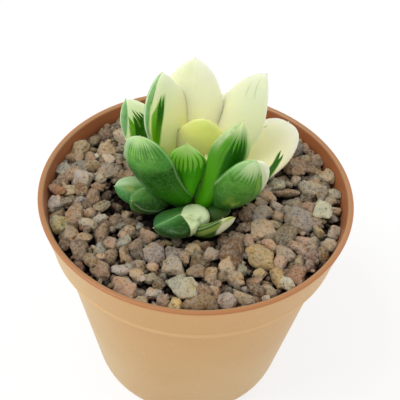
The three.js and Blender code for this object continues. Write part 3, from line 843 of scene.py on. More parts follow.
def box(across=(OPEN, OPEN), along=(OPEN, OPEN), slanted=()):
    """The sides of a patch that reaches from one place to another across and along the leaf. An
    open end has no side, and slanted sides may be added."""
    sides = []
    for low, high, a, b in ((*across, 1, 0), (*along, 0, 1)):
        if low is not OPEN:
            sides.append((a, b, -low))
        if high is not OPEN:
            sides.append((-a, -b, high))
    return sides + list(slanted)


def painted(sides, root, tip=None, **row):
    """A layer of a leaf's look: a patch between its sides, from a root shade to a tip shade."""
    return patch, {"sides": sides, "root": root, "tip": tip or root, **row}


def fingers(**row):
    """A layer of a leaf's look: a band that ends in fingers."""
    return comb, row


print("sides of a box with one end open:", box(across=(-0.5, 0.5), along=(0.2, OPEN)))

# %% Leaf finish
# What a leaf has where its look says nothing else.
PLAIN_LOOK = {
    "seed": 0.0, "middle_at": 0.55, "edge_at": 0.985, "edge": 0.25, "edge_shade": (214, 230, 190),
    "grain": 0.05, "glow": 0.2, "depth": 0.0015, "layers": [],
}
PALE_GRAIN, VEIN_SHADE, SPECK_SHADE = ink(236, 246, 216), ink(140, 180, 110), ink(232, 238, 226)
DRY_POINT = ink(206, 190, 150)
# Where along the leaf its dried point begins, and where it is dry all through.
DRY_FROM, DRY_AT = 0.997, 1.02
MARK_EDGE = 0.15


def layered(skin, along, across, wander, mottle, shade, layer):
    """The shade with one layer over it: a colour that turns from root to tip and is mottled with
    spots, laid on where the layer's own pattern says."""
    kind, row = layer
    turned_to_tip = skin.rise(along, *row.get("turns", (0.1, 0.9)))
    colour = skin.mix(turned_to_tip, ink(*row["root"]), ink(*row["tip"]))
    spots = skin.rise(mottle, 0.4, 0.7, 0.0, row.get("mottled", 0.5))
    colour = skin.mix(spots, colour, ink(*row.get("spots", row["root"])))
    cover = kind(skin, along, across, wander, row)
    return skin.mix(skin.times(cover, row.get("strength", 1.0)), shade, colour)


def leaf_finish(name, look):
    """Flesh shaded from root to tip, the leaf's own bands and patches over it, and a waxy skin."""
    look = {**PLAIN_LOOK, **look}
    skin = Finish(name)
    along, across = skin.value_of("along"), skin.value_of("across")
    stretched = skin.vector(skin.times(along, 2.6), skin.times(across, 2.2), look["seed"])
    wander = skin.less(skin.noise(1.6, 3, 0.5, stretched), 0.5)
    mottle = skin.noise(0.55, 4, 0.6)
    grain = skin.noise(2.6, 3, 0.6)
    # The flesh from root to tip, and the leaf's own layers over it.
    root_shade, middle_shade, tip_shade = (ink(*shade) for shade in look["flesh"])
    shade = skin.mix(skin.rise(along, 0.1, look["middle_at"]), root_shade, middle_shade)
    shade = skin.mix(skin.rise(along, look["middle_at"], 0.98), shade, tip_shade)
    for layer in look["layers"]:
        shade = layered(skin, along, across, wander, mottle, shade, layer)
    # A pale rim along both edges, and fine pale grains.
    edge = skin.rise(skin.off(across), look["edge_at"], 1.0, 0.0, look["edge"])
    shade = skin.mix(edge, shade, ink(*look["edge_shade"]))
    shade = skin.mix(skin.rise(grain, 0.5, 0.8, 0.0, look["grain"]), shade, PALE_GRAIN)
    if "marbled" in look:
        sides, share = look["marbled"]
        where = patch(skin, along, across, wander, {"sides": sides, "soft": MARK_EDGE})
        # A vein runs where the noise passes its middle value.
        vein = skin.off(skin.less(skin.noise(0.75, 3, 0.55), 0.5))
        veins = skin.rise(vein, 0.0, 0.06, 0.45 * share, 0.0)
        shade = skin.mix(skin.times(where, veins), shade, VEIN_SHADE)
    if "flecks" in look:
        sides, share = look["flecks"]
        where = patch(skin, along, across, wander, {"sides": sides, "soft": MARK_EDGE})
        specks = skin.rise(skin.cells(1.6), 0.06, 0.13, share, 0.0)
        shade = skin.mix(skin.times(where, specks), shade, SPECK_SHADE)
    shade = skin.mix(skin.rise(along, DRY_FROM, DRY_AT), shade, DRY_POINT)
    skin.set(
        Base_Color=shade,
        Roughness=skin.rise(grain, 0.3, 0.7, 0.32, 0.5),
        Subsurface_Weight=look["glow"],
        Subsurface_Radius=(0.8, 1.0, 0.35),
        Subsurface_Scale=look["depth"],
        Specular_IOR_Level=0.16,
        Sheen_Weight=0.02,
        Sheen_Roughness=0.4,
        Sheen_Tint=(0.9, 1.0, 0.9, 1.0),
        Coat_Weight=0.04,
        Coat_Roughness=0.25,
    )
    skin.bumps(skin.line(mottle, 2.0, grain), 0.06)
    return skin


print("waxy skin: roughness 0.32 to 0.5, light goes", PLAIN_LOOK["depth"] / MM, "mm deep or more")

# %% [markdown]
# ### Each leaf's own look
#
# Each leaf has its flesh shades at the root, the middle and the tip, and then layers from the
# lowest to the topmost. In a layer's numbers, across goes from -1 at the leaf's one edge to 1 at
# the other, and along from 0 at the root to 1 at the tip. The young leaves in the heart come first.

# %% Looks of the youngest leaves
# Flesh shades, skins and bands that several leaves share.
CREAM = ((228, 232, 122), (242, 246, 190), (234, 242, 208))
VEINS = {
    "root": (200, 210, 120), "tip": (196, 210, 140), "half": (1.2, 0.9), "taper": 0.35,
    "ragged": 0.2, "full": 0.2, "strength": 0.4, "lines": 14,
}
PALE = ((240, 238, 168), (226, 227, 188), (214, 218, 196))
CREAM_GLOW = {
    "glow": 0.75, "depth": 0.005, "grain": 0.06, "edge": 0.5, "edge_shade": (232, 240, 216),
}
DEEP = {"root": (66, 132, 6), "tip": (24, 88, 4), "spots": (48, 118, 14)}
VIVID = {"root": (68, 136, 4), "tip": (90, 166, 26), "spots": (62, 130, 16)}
LOOKS = {}
LOOKS["leaf_heart_left"] = dict(
    slot="leaf_green", flesh=((80, 140, 20), (120, 170, 60), (170, 200, 120)), seed=1.0,
    layers=[
        fingers(**VIVID, middle=(0, 0), half=(1.3, 1.3), top=0.9, taper=0.3, lines=6),
    ],
)
LOOKS["leaf_heart_right"] = dict(
    slot="leaf_yellow", flesh=((206, 206, 60), (212, 214, 90), (222, 226, 150)), seed=2.0,
    glow=0.4, depth=0.003,
)
LOOKS["leaf_green_centre"] = dict(
    slot="leaf_green", seed=3.0, middle_at=0.78, glow=0.5, depth=0.003,
    flesh=((84, 176, 0), (120, 184, 52), (158, 188, 110)),
    layers=[
        fingers(
            middle=(0.07, 0.07), half=(1.3, 1.2), top=0.9, root=(66, 140, 2), tip=(66, 132, 8),
            taper=0.3, lines=8, ragged=0.08, full=0.38, wavy=0.3,
        ),
        fingers(
            middle=(0.07, 0.07), half=(1.3, 1.3), top=0.74, root=(88, 184, 0), tip=(40, 132, 0),
            spots=(66, 158, 0), taper=0.12, lines=8, ragged=0.06, wavy=0.3,
        ),
    ],
)
LOOKS["leaf_yellow_inner"] = dict(
    slot="leaf_yellow", seed=4.0, glow=0.95, depth=0.009, grain=0.03, middle_at=0.7,
    flesh=((255, 255, 120), (254, 253, 152), (206, 214, 138)), edge=0.6, edge_at=0.93,
    edge_shade=(196, 204, 124),
)
print("looks so far:", len(LOOKS))

# %% [markdown]
# #### The green leaves
#
# Two leaves in front are green to their tips. A clear window lies across each tip, and the green
# reaches into it in fingers, with a second, finer row that runs on to the edge.

# %% Looks of the green leaves
LOOKS["leaf_green_right"] = dict(
    slot="leaf_green", seed=5.0, middle_at=0.8, glow=0.5, depth=0.003,
    flesh=((76, 158, 2), (84, 152, 30), (196, 208, 156)),
    layers=[
        painted(
            box(along=(0.66, OPEN), slanted=[(-1, 0.2, -0.92)]), (90, 144, 50), (190, 206, 154),
            soft=0.1, turns=(0.6, 0.9),
        ),
        painted(box(across=(0.72, OPEN)), (150, 186, 96), (196, 212, 156), soft=0.06),
        fingers(
            middle=(0.12, 0.12), half=(0.66, 0.62), low=0.6, top=0.97, root=(52, 110, 10),
            tip=(56, 100, 20), taper=0.45, lines=8, ragged=0.08, full=0.3, soft=0.05,
        ),
        fingers(
            middle=(0.16, 0.16), half=(0.52, 0.48), low=0.46, top=0.9, root=(50, 124, 0),
            tip=(20, 88, 0), spots=(34, 104, 0), taper=0.14, lines=8, ragged=0.08, soft=0.1,
        ),
    ],
)
LOOKS["leaf_green_left"] = dict(
    slot="leaf_green", seed=6.0, middle_at=0.6, glow=0.4, depth=0.0025,
    flesh=((54, 130, 0), (24, 92, 0), (172, 204, 138)), marbled=(box(along=(0.3, 0.86)), 0.4),
    layers=[
        painted(
            box(across=(OPEN, -0.2), along=(0.2, 0.56)), (96, 136, 90), spots=(50, 104, 40),
            mottled=0.9, strength=0.8, soft=0.1, wavy=0.3,
        ),
        painted(
            box(along=(0.68, 0.93)), (76, 156, 50), (116, 184, 74), spots=(50, 128, 30),
            mottled=0.8, strength=0.85, soft=0.06, wavy=0.1, turns=(0.7, 0.85),
        ),
        painted(
            box(across=(0.72, OPEN), along=(0.74, 0.94)), (40, 128, 34), strength=0.7, soft=0.12,
            wavy=0.1,
        ),
        fingers(
            middle=(0, 0), half=(1.3, 0.95), low=0.82, top=0.99, root=(46, 112, 20),
            tip=(56, 100, 36), taper=0.3, lines=14, ragged=0.08, full=0.26,
        ),
        painted(
            box(across=(OPEN, -0.74), along=(0.7, OPEN)), (150, 186, 150), (176, 200, 160),
            strength=0.7, soft=0.1,
        ),
    ],
)
print("looks so far:", len(LOOKS))

# %% [markdown]
# #### The cream leaves
#
# These hold no green, so light goes deep into them and they glow. Faint veins, a few pale streaks
# and a brighter edge are all that shows.

# %% Looks of the cream leaves
LOOKS["leaf_cream_tall"] = dict(
    **CREAM_GLOW, slot="leaf_cream", seed=7.0,
    flesh=((255, 254, 196), (252, 250, 210), (238, 242, 218)),
    layers=[
        painted(box(across=(0, OPEN)), (250, 250, 200), (216, 222, 184), strength=0.5, soft=0.5),
        painted(
            box(across=(-0.03, 0.02), along=(0.74, OPEN)), (250, 252, 214), strength=0.4,
            soft=0.03, wavy=0.02,
        ),
    ],
)
LOOKS["leaf_cream_right"] = dict(
    **CREAM_GLOW, slot="leaf_cream", flesh=PALE, seed=9.0, edge_at=0.96,
    layers=[
        painted(
            box(along=(0.82, 0.95), slanted=[(1, -2.8, 2.62), (-1, 2.8, -2.54)]), (150, 170, 104),
            strength=0.4, soft=0.04, wavy=0.1,
        ),
        painted(
            box(along=(0.76, 0.86), slanted=[(1, -2.8, 2.08), (-1, 2.8, -2.0)]), (150, 170, 104),
            strength=0.3, soft=0.04, wavy=0.1,
        ),
    ],
)
LOOKS["leaf_cream_behind"] = dict(
    **CREAM_GLOW, slot="leaf_cream", flesh=CREAM, seed=11.0,
    layers=[
        fingers(**VEINS, middle=(0.1, 0.1), top=0.95),
    ],
)
LOOKS["leaf_cream_broad"] = dict(
    **CREAM_GLOW, slot="leaf_cream", seed=12.0,
    flesh=((246, 244, 156), (252, 250, 196), (238, 242, 210)),
    layers=[
        fingers(
            middle=(-1.25, -0.4), half=(0.11, 0.075), low=0.2, top=0.675, root=(30, 96, 0),
            tip=(64, 116, 20), taper=0.08, lines=16, ragged=0.04, soft=0.025, wavy=0.2,
        ),
        painted(
            box(across=(0.46, 0.52), along=(0.775, 0.805)), (150, 160, 100), strength=0.7,
            soft=0.03, wavy=0.02,
        ),
    ],
)
print("looks so far:", len(LOOKS))

# %% [markdown]
# #### The striped leaves
#
# Half of each is green and half cream, because green and white tissue grow side by side from the
# root on. The border runs along the leaf and leans with it.

# %% Looks of the striped leaves
LOOKS["leaf_striped_left"] = dict(
    **CREAM_GLOW, slot="leaf_striped", seed=8.0,
    flesh=((255, 252, 110), (248, 246, 178), (222, 228, 204)),
    layers=[
        painted([(1, 0.45, -1.2)], (96, 146, 76), (136, 174, 124), soft=0.04),
        painted(
            box(along=(0.76, 0.9), slanted=[(1, 0.45, -1.13), (-1, -0.45, 1.2)]), (170, 206, 120),
            strength=0.6, soft=0.04,
        ),
        painted(
            box(along=(0.8, 0.92), slanted=[(1, 0.6, -1.295), (-1, -0.6, 1.335)]), (60, 104, 34),
            strength=0.9, soft=0.014, wavy=0.02,
        ),
        painted(
            box(
                along=(OPEN, 0.83),
                slanted=[(1, 1.72, -1.565), (-1, -0.7, 1.31), (-1, -3.4, 3.25)],
            ),
            (110, 176, 8), (150, 192, 76), soft=0.045, wavy=0.05, turns=(0.6, 0.84),
        ),
        fingers(
            middle=(1.52, 0.07), half=(-0.045, 0.21), low=0.5, top=0.855, root=(92, 156, 0),
            tip=(36, 104, 0), spots=(60, 124, 0), taper=0.1, lines=13, ragged=0.02, soft=0.03,
            wavy=0.15, turns=(0.5, 0.72),
        ),
    ],
)
LOOKS["leaf_striped_low"] = dict(
    **CREAM_GLOW, slot="leaf_striped", seed=14.0,
    flesh=((150, 180, 90), (214, 226, 170), (216, 230, 204)),
    layers=[
        painted([(1, 2, -2.31)], (92, 138, 84), (128, 166, 118), soft=0.05),
        fingers(
            middle=(0.47, 0.47), half=(1.05, 0.0), low=0.4, top=0.85, root=(96, 156, 10),
            tip=(112, 170, 40), spots=(80, 140, 10), taper=0.08, lines=10, ragged=0.08, soft=0.04,
            wavy=0.3,
        ),
        fingers(
            middle=(0.06, 0.06), half=(1.77, -0.09), low=0.4, top=0.9, root=(44, 110, 0),
            tip=(26, 88, 0), spots=(34, 104, 2), taper=0.12, lines=12, ragged=0.08, soft=0.04,
            wavy=0.3,
        ),
        painted(
            box(along=(0.7, 0.82), slanted=[(1, 1, -0.95), (-1, -1, 1.01)]), (120, 176, 70),
            strength=0.6, soft=0.03, wavy=0.1,
        ),
    ],
)
print("looks so far:", len(LOOKS))

# %% [markdown]
# #### The low leaves
#
# The oldest leaves lie low and are duller, marbled with paler veins and flecked with white. The
# light lines along their edges are patches too, and so are the painted light and shade on their
# folds and wrinkles.

# %% Looks of the low leaves
LOOKS["leaf_plump_right"] = dict(
    slot="leaf_dusky", seed=10.0, middle_at=0.76, marbled=(box(along=(OPEN, 0.86)), 0.45),
    flesh=((64, 140, 14), (96, 160, 60), (190, 212, 158)),
    flecks=(box(across=(OPEN, -0.1), along=(0.28, 0.62)), 0.8),
    layers=[
        painted(
            box(across=(OPEN, -0.74), along=(0.7, OPEN)), (104, 166, 84), (150, 190, 122),
            strength=0.8, soft=0.1, turns=(0.7, 1.0),
        ),
        fingers(
            middle=(-0.15, -0.15), half=(1.2, 0.62), low=0.6, top=0.95, root=(64, 132, 30),
            tip=(80, 140, 50), taper=0.3, lines=11, ragged=0.1, full=0.34, soft=0.06,
        ),
        fingers(
            middle=(-0.2, -0.18), half=(1.4, 0.6), top=0.88, root=(40, 104, 4), tip=(88, 150, 50),
            spots=(56, 122, 40), mottled=0.9, taper=0.12, lines=11, ragged=0.07, soft=0.1,
            turns=(0.3, 0.75),
        ),
        painted(
            box(along=(0.64, 0.9), slanted=[(1, 0.9, -1.02), (-1, -0.9, 1.2)]), (124, 170, 60),
            (130, 176, 70), strength=0.8, soft=0.06, wavy=0.2,
        ),
        painted([(1, 0.8, -1.22)], (216, 230, 176), (214, 226, 180), soft=0.06),
        painted([(1, 0.4, -1.12)], (255, 255, 226), (232, 238, 206), soft=0.08),
        painted(
            box(across=(-0.5, 0.02), along=(0.34, 0.48)), (104, 144, 34), (124, 158, 50),
            strength=0.9, soft=0.08, wavy=0.3,
        ),
        painted(
            box(across=(-0.25, -0.12), along=(0.38, 0.43)), (170, 200, 110), strength=0.8,
            soft=0.05, wavy=0.1,
        ),
    ],
)
LOOKS["leaf_low_front"] = dict(
    slot="leaf_dusky", seed=13.0, middle_at=0.6, edge=0.0,
    flesh=((48, 104, 20), (46, 98, 34), (58, 112, 60)), marbled=(box(along=(0.5, OPEN)), 0.25),
    layers=[
        # Lighter near the crease and very dark past it: painted light and shade on the fold's two
        # faces.
        painted(box(across=(0.0, 0.42)), (64, 120, 40), (96, 148, 84), strength=0.7, soft=0.22),
        painted(box(across=(0.62, OPEN)), (26, 62, 8), (26, 62, 14), strength=0.9, soft=0.35),
        # A painted highlight along the crease.
        painted(
            box(across=(0.17, 0.23), along=(0.5, 0.94)), (160, 196, 140), (142, 182, 126),
            strength=0.85, soft=0.025, wavy=0.04,
        ),
        painted(
            [(0.35, -1, 0.41), (0.02, -1, 0.5)], (232, 244, 196), (214, 226, 172), soft=0.015,
            wavy=0.04, turns=(0.25, 0.55),
        ),
        # Painted shade in a soft streak below the ridge of a wrinkle.
        painted(
            box(across=(0.5, 0.86), along=(0.36, 0.47)), (150, 168, 108), strength=0.55,
            soft=0.08, wavy=0.1,
        ),
        # A painted shadow.
        painted(
            box(across=(0.82, OPEN), along=(0.25, 0.36)), (90, 112, 56), strength=0.7, soft=0.06,
            wavy=0.2,
        ),
        # A painted highlight along the ridge of a wrinkle in the cream.
        painted(
            box(across=(0.25, 0.84), slanted=[(0.31, 1, -0.57), (-0.31, -1, 0.6)]),
            (226, 238, 190), strength=0.7, soft=0.015, wavy=0.02,
        ),
    ],
)
LOOKS["leaf_low_left"] = dict(
    slot="leaf_dusky", seed=15.0, marbled=(box(across=(-1, OPEN)), 0.45),
    flesh=((44, 92, 24), (72, 122, 52), (104, 156, 96)), flecks=(box(across=(-1, OPEN)), 0.6),
    layers=[
        painted(box(across=(0.45, OPEN)), (48, 116, 36), (60, 128, 60), strength=0.8, soft=0.2),
        painted(
            [(-1, 0.4, -0.4)], (130, 160, 110), (190, 212, 170), strength=0.7, soft=0.2, wavy=0.3,
            turns=(0.5, 0.8),
        ),
        painted(
            box(across=(-0.05, 0.45), along=(0.6, 0.82)), (150, 160, 70), strength=0.5, soft=0.1,
            wavy=0.5,
        ),
    ],
)
LOOKS["leaf_low_front_left"] = dict(
    slot="leaf_dusky", seed=16.0, marbled=(box(across=(-1, OPEN)), 0.35),
    flesh=((56, 112, 20), (84, 140, 60), (74, 126, 52)), flecks=(box(across=(OPEN, 0.2)), 0.9),
    layers=[
        # Painted shade on the right side, and painted light on the left side short of the tip.
        painted(box(across=(0.5, OPEN)), (34, 80, 20), (30, 66, 14), strength=0.85, soft=0.35),
        painted(
            box(across=(OPEN, -0.5), along=(OPEN, 0.85)), (122, 166, 110), (100, 146, 84),
            strength=0.6, soft=0.2, wavy=0.3, turns=(0.5, 0.8),
        ),
    ],
)
LOOKS["leaf_small"] = dict(
    slot="leaf_striped", seed=17.0, flesh=((40, 84, 16), (62, 96, 30), (70, 104, 40)),
    layers=[
        painted(
            box(across=(-0.94, -0.5), along=(0.52, OPEN)), (128, 152, 70), (150, 176, 84),
            strength=0.8, soft=0.08, wavy=0.3,
        ),
        painted([(0.12, 1, -0.74)], (236, 242, 200), (236, 242, 206), soft=0.03, wavy=0.3),
        painted(box(across=(OPEN, -0.7), along=(0.88, OPEN)), (186, 192, 100), soft=0.08),
        painted(
            box(across=(OPEN, -0.9), along=(OPEN, 0.86)), (58, 88, 26), soft=0.04, strength=0.8,
        ),
    ],
)
LOOKS["old_base"] = dict(
    slot="leaf_dusky", node="stem", flesh=((50, 110, 14), (40, 88, 16), (56, 84, 26)), seed=21.0,
)
print("looks so far:", len(LOOKS))

# %% [markdown]
# #### The leaves at the back
#
# The photograph doesn't show this side. The leaves there take after their neighbours.

# %% Looks of the leaves at the back
LOOKS["leaf_back_right"] = dict(
    **CREAM_GLOW, slot="leaf_cream", flesh=CREAM, seed=18.0,
    layers=[
        fingers(**VEINS, middle=(-0.1, 0.0), top=0.93),
    ],
)
LOOKS["leaf_back_middle"] = dict(
    **CREAM_GLOW, slot="leaf_striped", seed=19.0,
    flesh=((160, 186, 70), (224, 230, 160), (222, 236, 200)),
    layers=[
        fingers(**DEEP, middle=(-0.2, -0.3), half=(0.5, 0.3), top=0.82, taper=0.14, lines=9),
    ],
)
LOOKS["leaf_back_left"] = dict(
    **CREAM_GLOW, slot="leaf_striped", seed=20.0,
    flesh=((150, 180, 60), (216, 226, 150), (214, 232, 200)),
    layers=[
        fingers(**DEEP, middle=(0.1, 0.2), half=(0.6, 0.45), top=0.78, taper=0.16, lines=9),
    ],
)
print("layers in all:", sum(len(look.get("layers", [])) for look in LOOKS.values()))

# %% [markdown]
# ### The leaves themselves
#
# Every leaf ends in a short dried bristle, which is why its tip catches the light. A separate cone
# could be stuck on. Here the last rings of the skin go on past the tip as a tiny cone, so that leaf
# and point are one skin.

# %% Leaves, each with a dried point
POINT_LENGTH = 0.35
# distance past the tip, radius
POINT = np.array([[0.0, 0.2], [0.08, 0.15], [0.18, 0.1], [0.28, 0.05]])
# Rings lie closer to each other towards the tip: their distance from it is a power of their share.
RING_POWER = 1.4
# The point runs on past 1 along the leaf, by its distance over ten millimetres, and ends at 1.1.
POINT_SPAN, POINT_END = 10.0, 1.1
# The tip's direction is measured from a ring this many places before it.
BACK_RING = -5


def grow_leaf(name):
    """One leaf: its grid of points, the two numbers they carry, and its finish."""
    look = LOOKS[name]
    along = 1 - (1 - np.linspace(0.0, 1.0, LEAF_ROWS + 2)) ** RING_POWER
    angle = 2 * np.pi * np.arange(LEAF_COLUMNS) / LEAF_COLUMNS
    grid = leaf_points(LEAVES[name], along, angle, LONG_INNER_END.get(name, INNER_END))
    tip, ring = grid[-1, 0], grid[BACK_RING]
    ahead = unit(tip - ring.mean(axis=0))
    side = unit(ring[0] - ring[LEAF_COLUMNS // 2])
    side = unit(side - (side @ ahead) * ahead)
    round_tip = np.cos(angle)[:, None] * side + np.sin(angle)[:, None] * np.cross(ahead, side)
    point_rings = tip + POINT[:, :1, None] * ahead + POINT[:, 1:, None] * round_tip
    rings = [grid[1:-1].reshape(-1, 3), point_rings.reshape(-1, 3)]
    points = np.concatenate([grid[0, :1], *rings, [tip + POINT_LENGTH * ahead]])
    rows = LEAF_ROWS + len(POINT)
    ring_along = np.concatenate([along[1:-1], 1.0 + POINT[:, 0] / POINT_SPAN])
    carried_along = np.concatenate([along[:1], np.repeat(ring_along, LEAF_COLUMNS), [POINT_END]])
    carried_across = np.concatenate([[0.0], np.tile(np.cos(angle), rows), [0.0]])
    return make_piece(
        name + "_flesh",
        points,
        skin_faces(rows, LEAF_COLUMNS),
        leaf_finish(name + "_skin", look),
        look["slot"],
        look.get("node", name),
        values={"along": carried_along, "across": carried_across},
    )


leaf_pieces = [grow_leaf(name) for name in LEAVES]
print("leaves:", len(leaf_pieces), "of", len(leaf_pieces[0].data.polygons), "faces each")

# %% [markdown]
# ## Stem
#
# The leaves sit on a short thick stem that hardly shows. It is a turned stump with a rounded top,
# in the tender green of the leaf bases.

# %% Stem
STEM_BOTTOM, STEM_RADIUS, STEM_SHOULDER, STEM_TOP = 40.3, 4.7, 50.6, 53.8
STEM_COLUMNS, STEM_STEP = 48, 1.0
STEM_TOP_EDGE = STEM_SHOULDER + 0.85 * (STEM_TOP - STEM_SHOULDER)


def stem_finish():
    """Green flesh in darker and lighter patches, a little translucent, with the same patches as
    relief."""
    skin = Finish("stem_skin")
    patches = skin.noise(0.5, 3)
    skin.set(
        Base_Color=skin.mix(patches, ink(60, 118, 14), ink(104, 150, 40)),
        Roughness=0.5,
        Subsurface_Weight=0.2,
        Subsurface_Radius=(0.8, 1.0, 0.3),
        Subsurface_Scale=0.002,
    )
    skin.bumps(patches, 0.08)
    return skin


stem_rows = [
    # radius, height, cut
    (0.0, STEM_BOTTOM, 0.0),
    (STEM_RADIUS * 0.75, STEM_BOTTOM, 0.8),
    (STEM_RADIUS * 0.92, STEM_BOTTOM + 2.0, 2.0),
    (STEM_RADIUS, STEM_SHOULDER, 1.5),
    (STEM_RADIUS * 0.7, STEM_TOP_EDGE, 1.5),
    (0.0, STEM_TOP, 0.0),
]
stem_points, stem_faces = turned_skin(filled_in(rounded(stem_rows), STEM_STEP), STEM_COLUMNS)
stem_points[:, :2] += STEM_CENTRE
make_piece("stem_stump", stem_points, stem_faces, stem_finish(), "stem_green", "stem")
print("stem:", round(STEM_TOP - STEM_BOTTOM, 1), "mm long,", 2 * STEM_RADIUS, "mm thick")

# %% [markdown]
# ## Gravel
#
# The pot is filled with washed lava and pumice, broken and then tumbled, so a grain has flat faces
# with worn edges and a porous skin. Grains could be dropped by a physics run. Here they are laid by
# the same rule as in the solid, from large to small, each where it doesn't crowd the ones before
# it, so that both models hold the same stones in the same places.

# %% Gravel numbers, as in the solid
EDGE_HEIGHT, DIP, DIP_REACH = 50.2, 0.4, 24.0
REACH, LARGEST, SMALLEST = 30.1, 3.0, 1.45
TRIES, SPACING, FLATNESS = 6000, 0.86, 0.85
SHRINKING = 0.6
LIFT_LOW, LIFT_HIGH = 0.1, 0.4
GRAVEL_SEED = 41
PLACED_STONES = [
    # x, y, half length, half width, turn, colour
    (12.9, -17.0, 3.3, 2.6, -50, "yellow"),
    (15.9, -20.7, 2.2, 1.5, -70, "yellow"),
    (-3.4, -19.5, 2.9, 2.4, -60, "grey"),
    (-1.2, -24.3, 3.1, 2.6, -35, "grey"),
    (-7.7, -17.2, 2.6, 2.1, 75, "grey"),
    (-12.6, -25.1, 2.6, 1.8, -30, "tan"),
    (-16.7, -21.5, 2.5, 1.6, -40, "brown"),
    (-26.4, 12.2, 2.7, 2.5, 0, "olive"),
    (-21.1, 11.7, 2.4, 2.2, 30, "tan"),
    (24.7, 3.6, 2.7, 2.4, 0, "grey"),
    (19.0, 2.4, 3.0, 1.3, -8, "brown"),
    (18.4, 6.4, 2.1, 1.3, -10, "brown"),
    (17.8, -15.2, 2.5, 1.7, -65, "mauve"),
    (21.0, -13.5, 2.5, 1.9, -25, "pink"),
    (-26.8, -10.3, 2.2, 1.9, 80, "olive"),
    (-24.2, -12.9, 2.3, 2.0, 70, "pink"),
    (16.7, -2.3, 1.9, 1.8, 0, "white"),
    (16.6, -7.1, 2.1, 1.5, 0, "tan"),
    (-29.0, 4.9, 2.0, 1.8, 0, "grey"),
    (-27.9, 9.2, 1.6, 1.4, 0, "brown"),
    (-26.4, -1.3, 1.8, 1.5, 30, "tan"),
    (-29.0, -4.9, 1.9, 1.5, 90, "grey"),
    (-24.0, -3.6, 1.7, 1.4, 20, "grey"),
    (-21.4, -9.9, 2.0, 1.4, -35, "grey"),
    (-19.0, -8.4, 1.5, 1.2, -15, "white"),
    (-20.5, 0.7, 1.9, 1.5, 0, "brown"),
    (-15.3, -8.6, 1.7, 1.6, 0, "dark"),
    (-13.1, -11.7, 1.9, 1.4, 35, "pink"),
    (-9.2, -12.2, 2.1, 1.8, 0, "pink"),
    (-17.9, -16.1, 2.2, 1.2, 80, "grey"),
    (-13.1, -16.8, 2.0, 1.3, 90, "brown"),
    (-11.2, -15.0, 1.7, 1.3, 90, "pink"),
    (-10.7, -19.6, 1.6, 1.4, 0, "mauve"),
    (-7.8, -22.5, 1.9, 1.2, 10, "tan"),
    (-7.0, -26.4, 1.7, 1.5, 0, "grey"),
    (29.3, 2.5, 1.7, 1.7, 0, "grey"),
    (28.1, -7.9, 2.0, 1.6, 70, "grey"),
    (24.9, -14.6, 1.8, 1.5, 70, "brown"),
    (24.1, -11.2, 1.4, 1.3, 0, "grey"),
    (26.9, -11.8, 1.6, 1.4, 0, "grey"),
    (25.2, -8.6, 1.8, 1.3, -40, "tan"),
    (22.4, -17.6, 1.7, 1.4, 20, "mauve"),
    (3.6, -21.7, 1.9, 1.8, 60, "pink"),
    (8.5, -21.7, 1.8, 1.6, 20, "tan"),
    (4.4, -25.2, 1.5, 1.4, 0, "pink"),
    (9.2, -25.8, 2.5, 1.5, -30, "tan"),
    (14.5, -24.2, 1.8, 1.3, 0, "mauve"),
    (26.9, 13.4, 2.2, 1.7, 20, "tan"),
    (28.3, 8.0, 1.9, 1.7, 0, "tan"),
    (25.1, 9.9, 1.8, 1.3, -20, "brown"),
    (-1.5, -13.4, 1.8, 1.5, 0, "mauve"),
    (-5.0, -13.8, 1.6, 1.2, -20, "olive"),
    (2.9, -13.6, 1.7, 1.5, 0, "brown"),
]
STONE_COLOURS = {
    # name: colour, how often it is drawn
    "brown": ((196, 166, 132), 24),
    "pink": ((214, 186, 158), 20),
    "mauve": ((204, 186, 162), 16),
    "dark": ((168, 146, 120), 10),
    "tan": ((226, 200, 164), 16),
    "grey": ((224, 214, 194), 18),
    "white": ((240, 232, 210), 4),
    "yellow": ((236, 206, 144), 1),
    "olive": ((216, 200, 152), 3),
    "red": ((184, 140, 112), 4),
}
print("stones placed as the photograph shows them:", len(PLACED_STONES))

# %% Stones laid by the same rule as in the solid
RANDOM_STEP, MASK = 0x6D2B79F5, 0xFFFFFFFF
# How long a stone is against its width, and the share of its size that it keeps off the wall.
STRETCH_FROM, STRETCH_SPAN, WALL_SHARE = 0.8, 0.4, 0.7


def random_source(seed):
    """Repeatable random numbers from 0 to 1, the same as in the solid's source. The state grows by
    a fixed step, and shifts and products of its lowest 32 bits mix it up."""
    state = seed & MASK

    def draw():
        nonlocal state
        state = (state + RANDOM_STEP) & MASK
        t = ((state ^ (state >> 15)) * (state | 1)) & MASK
        t ^= (t + (((t ^ (t >> 7)) * (t | 61)) & MASK)) & MASK
        return ((t ^ (t >> 14)) & MASK) / (MASK + 1)

    return draw


def bed_height(x, y):
    """The bed is level at the wall and sinks smoothly by a little towards the plant."""
    away = np.hypot(x - STEM_CENTRE[0], y - STEM_CENTRE[1])
    return EDGE_HEIGHT - DIP * (1 - smooth_rise(away / DIP_REACH))


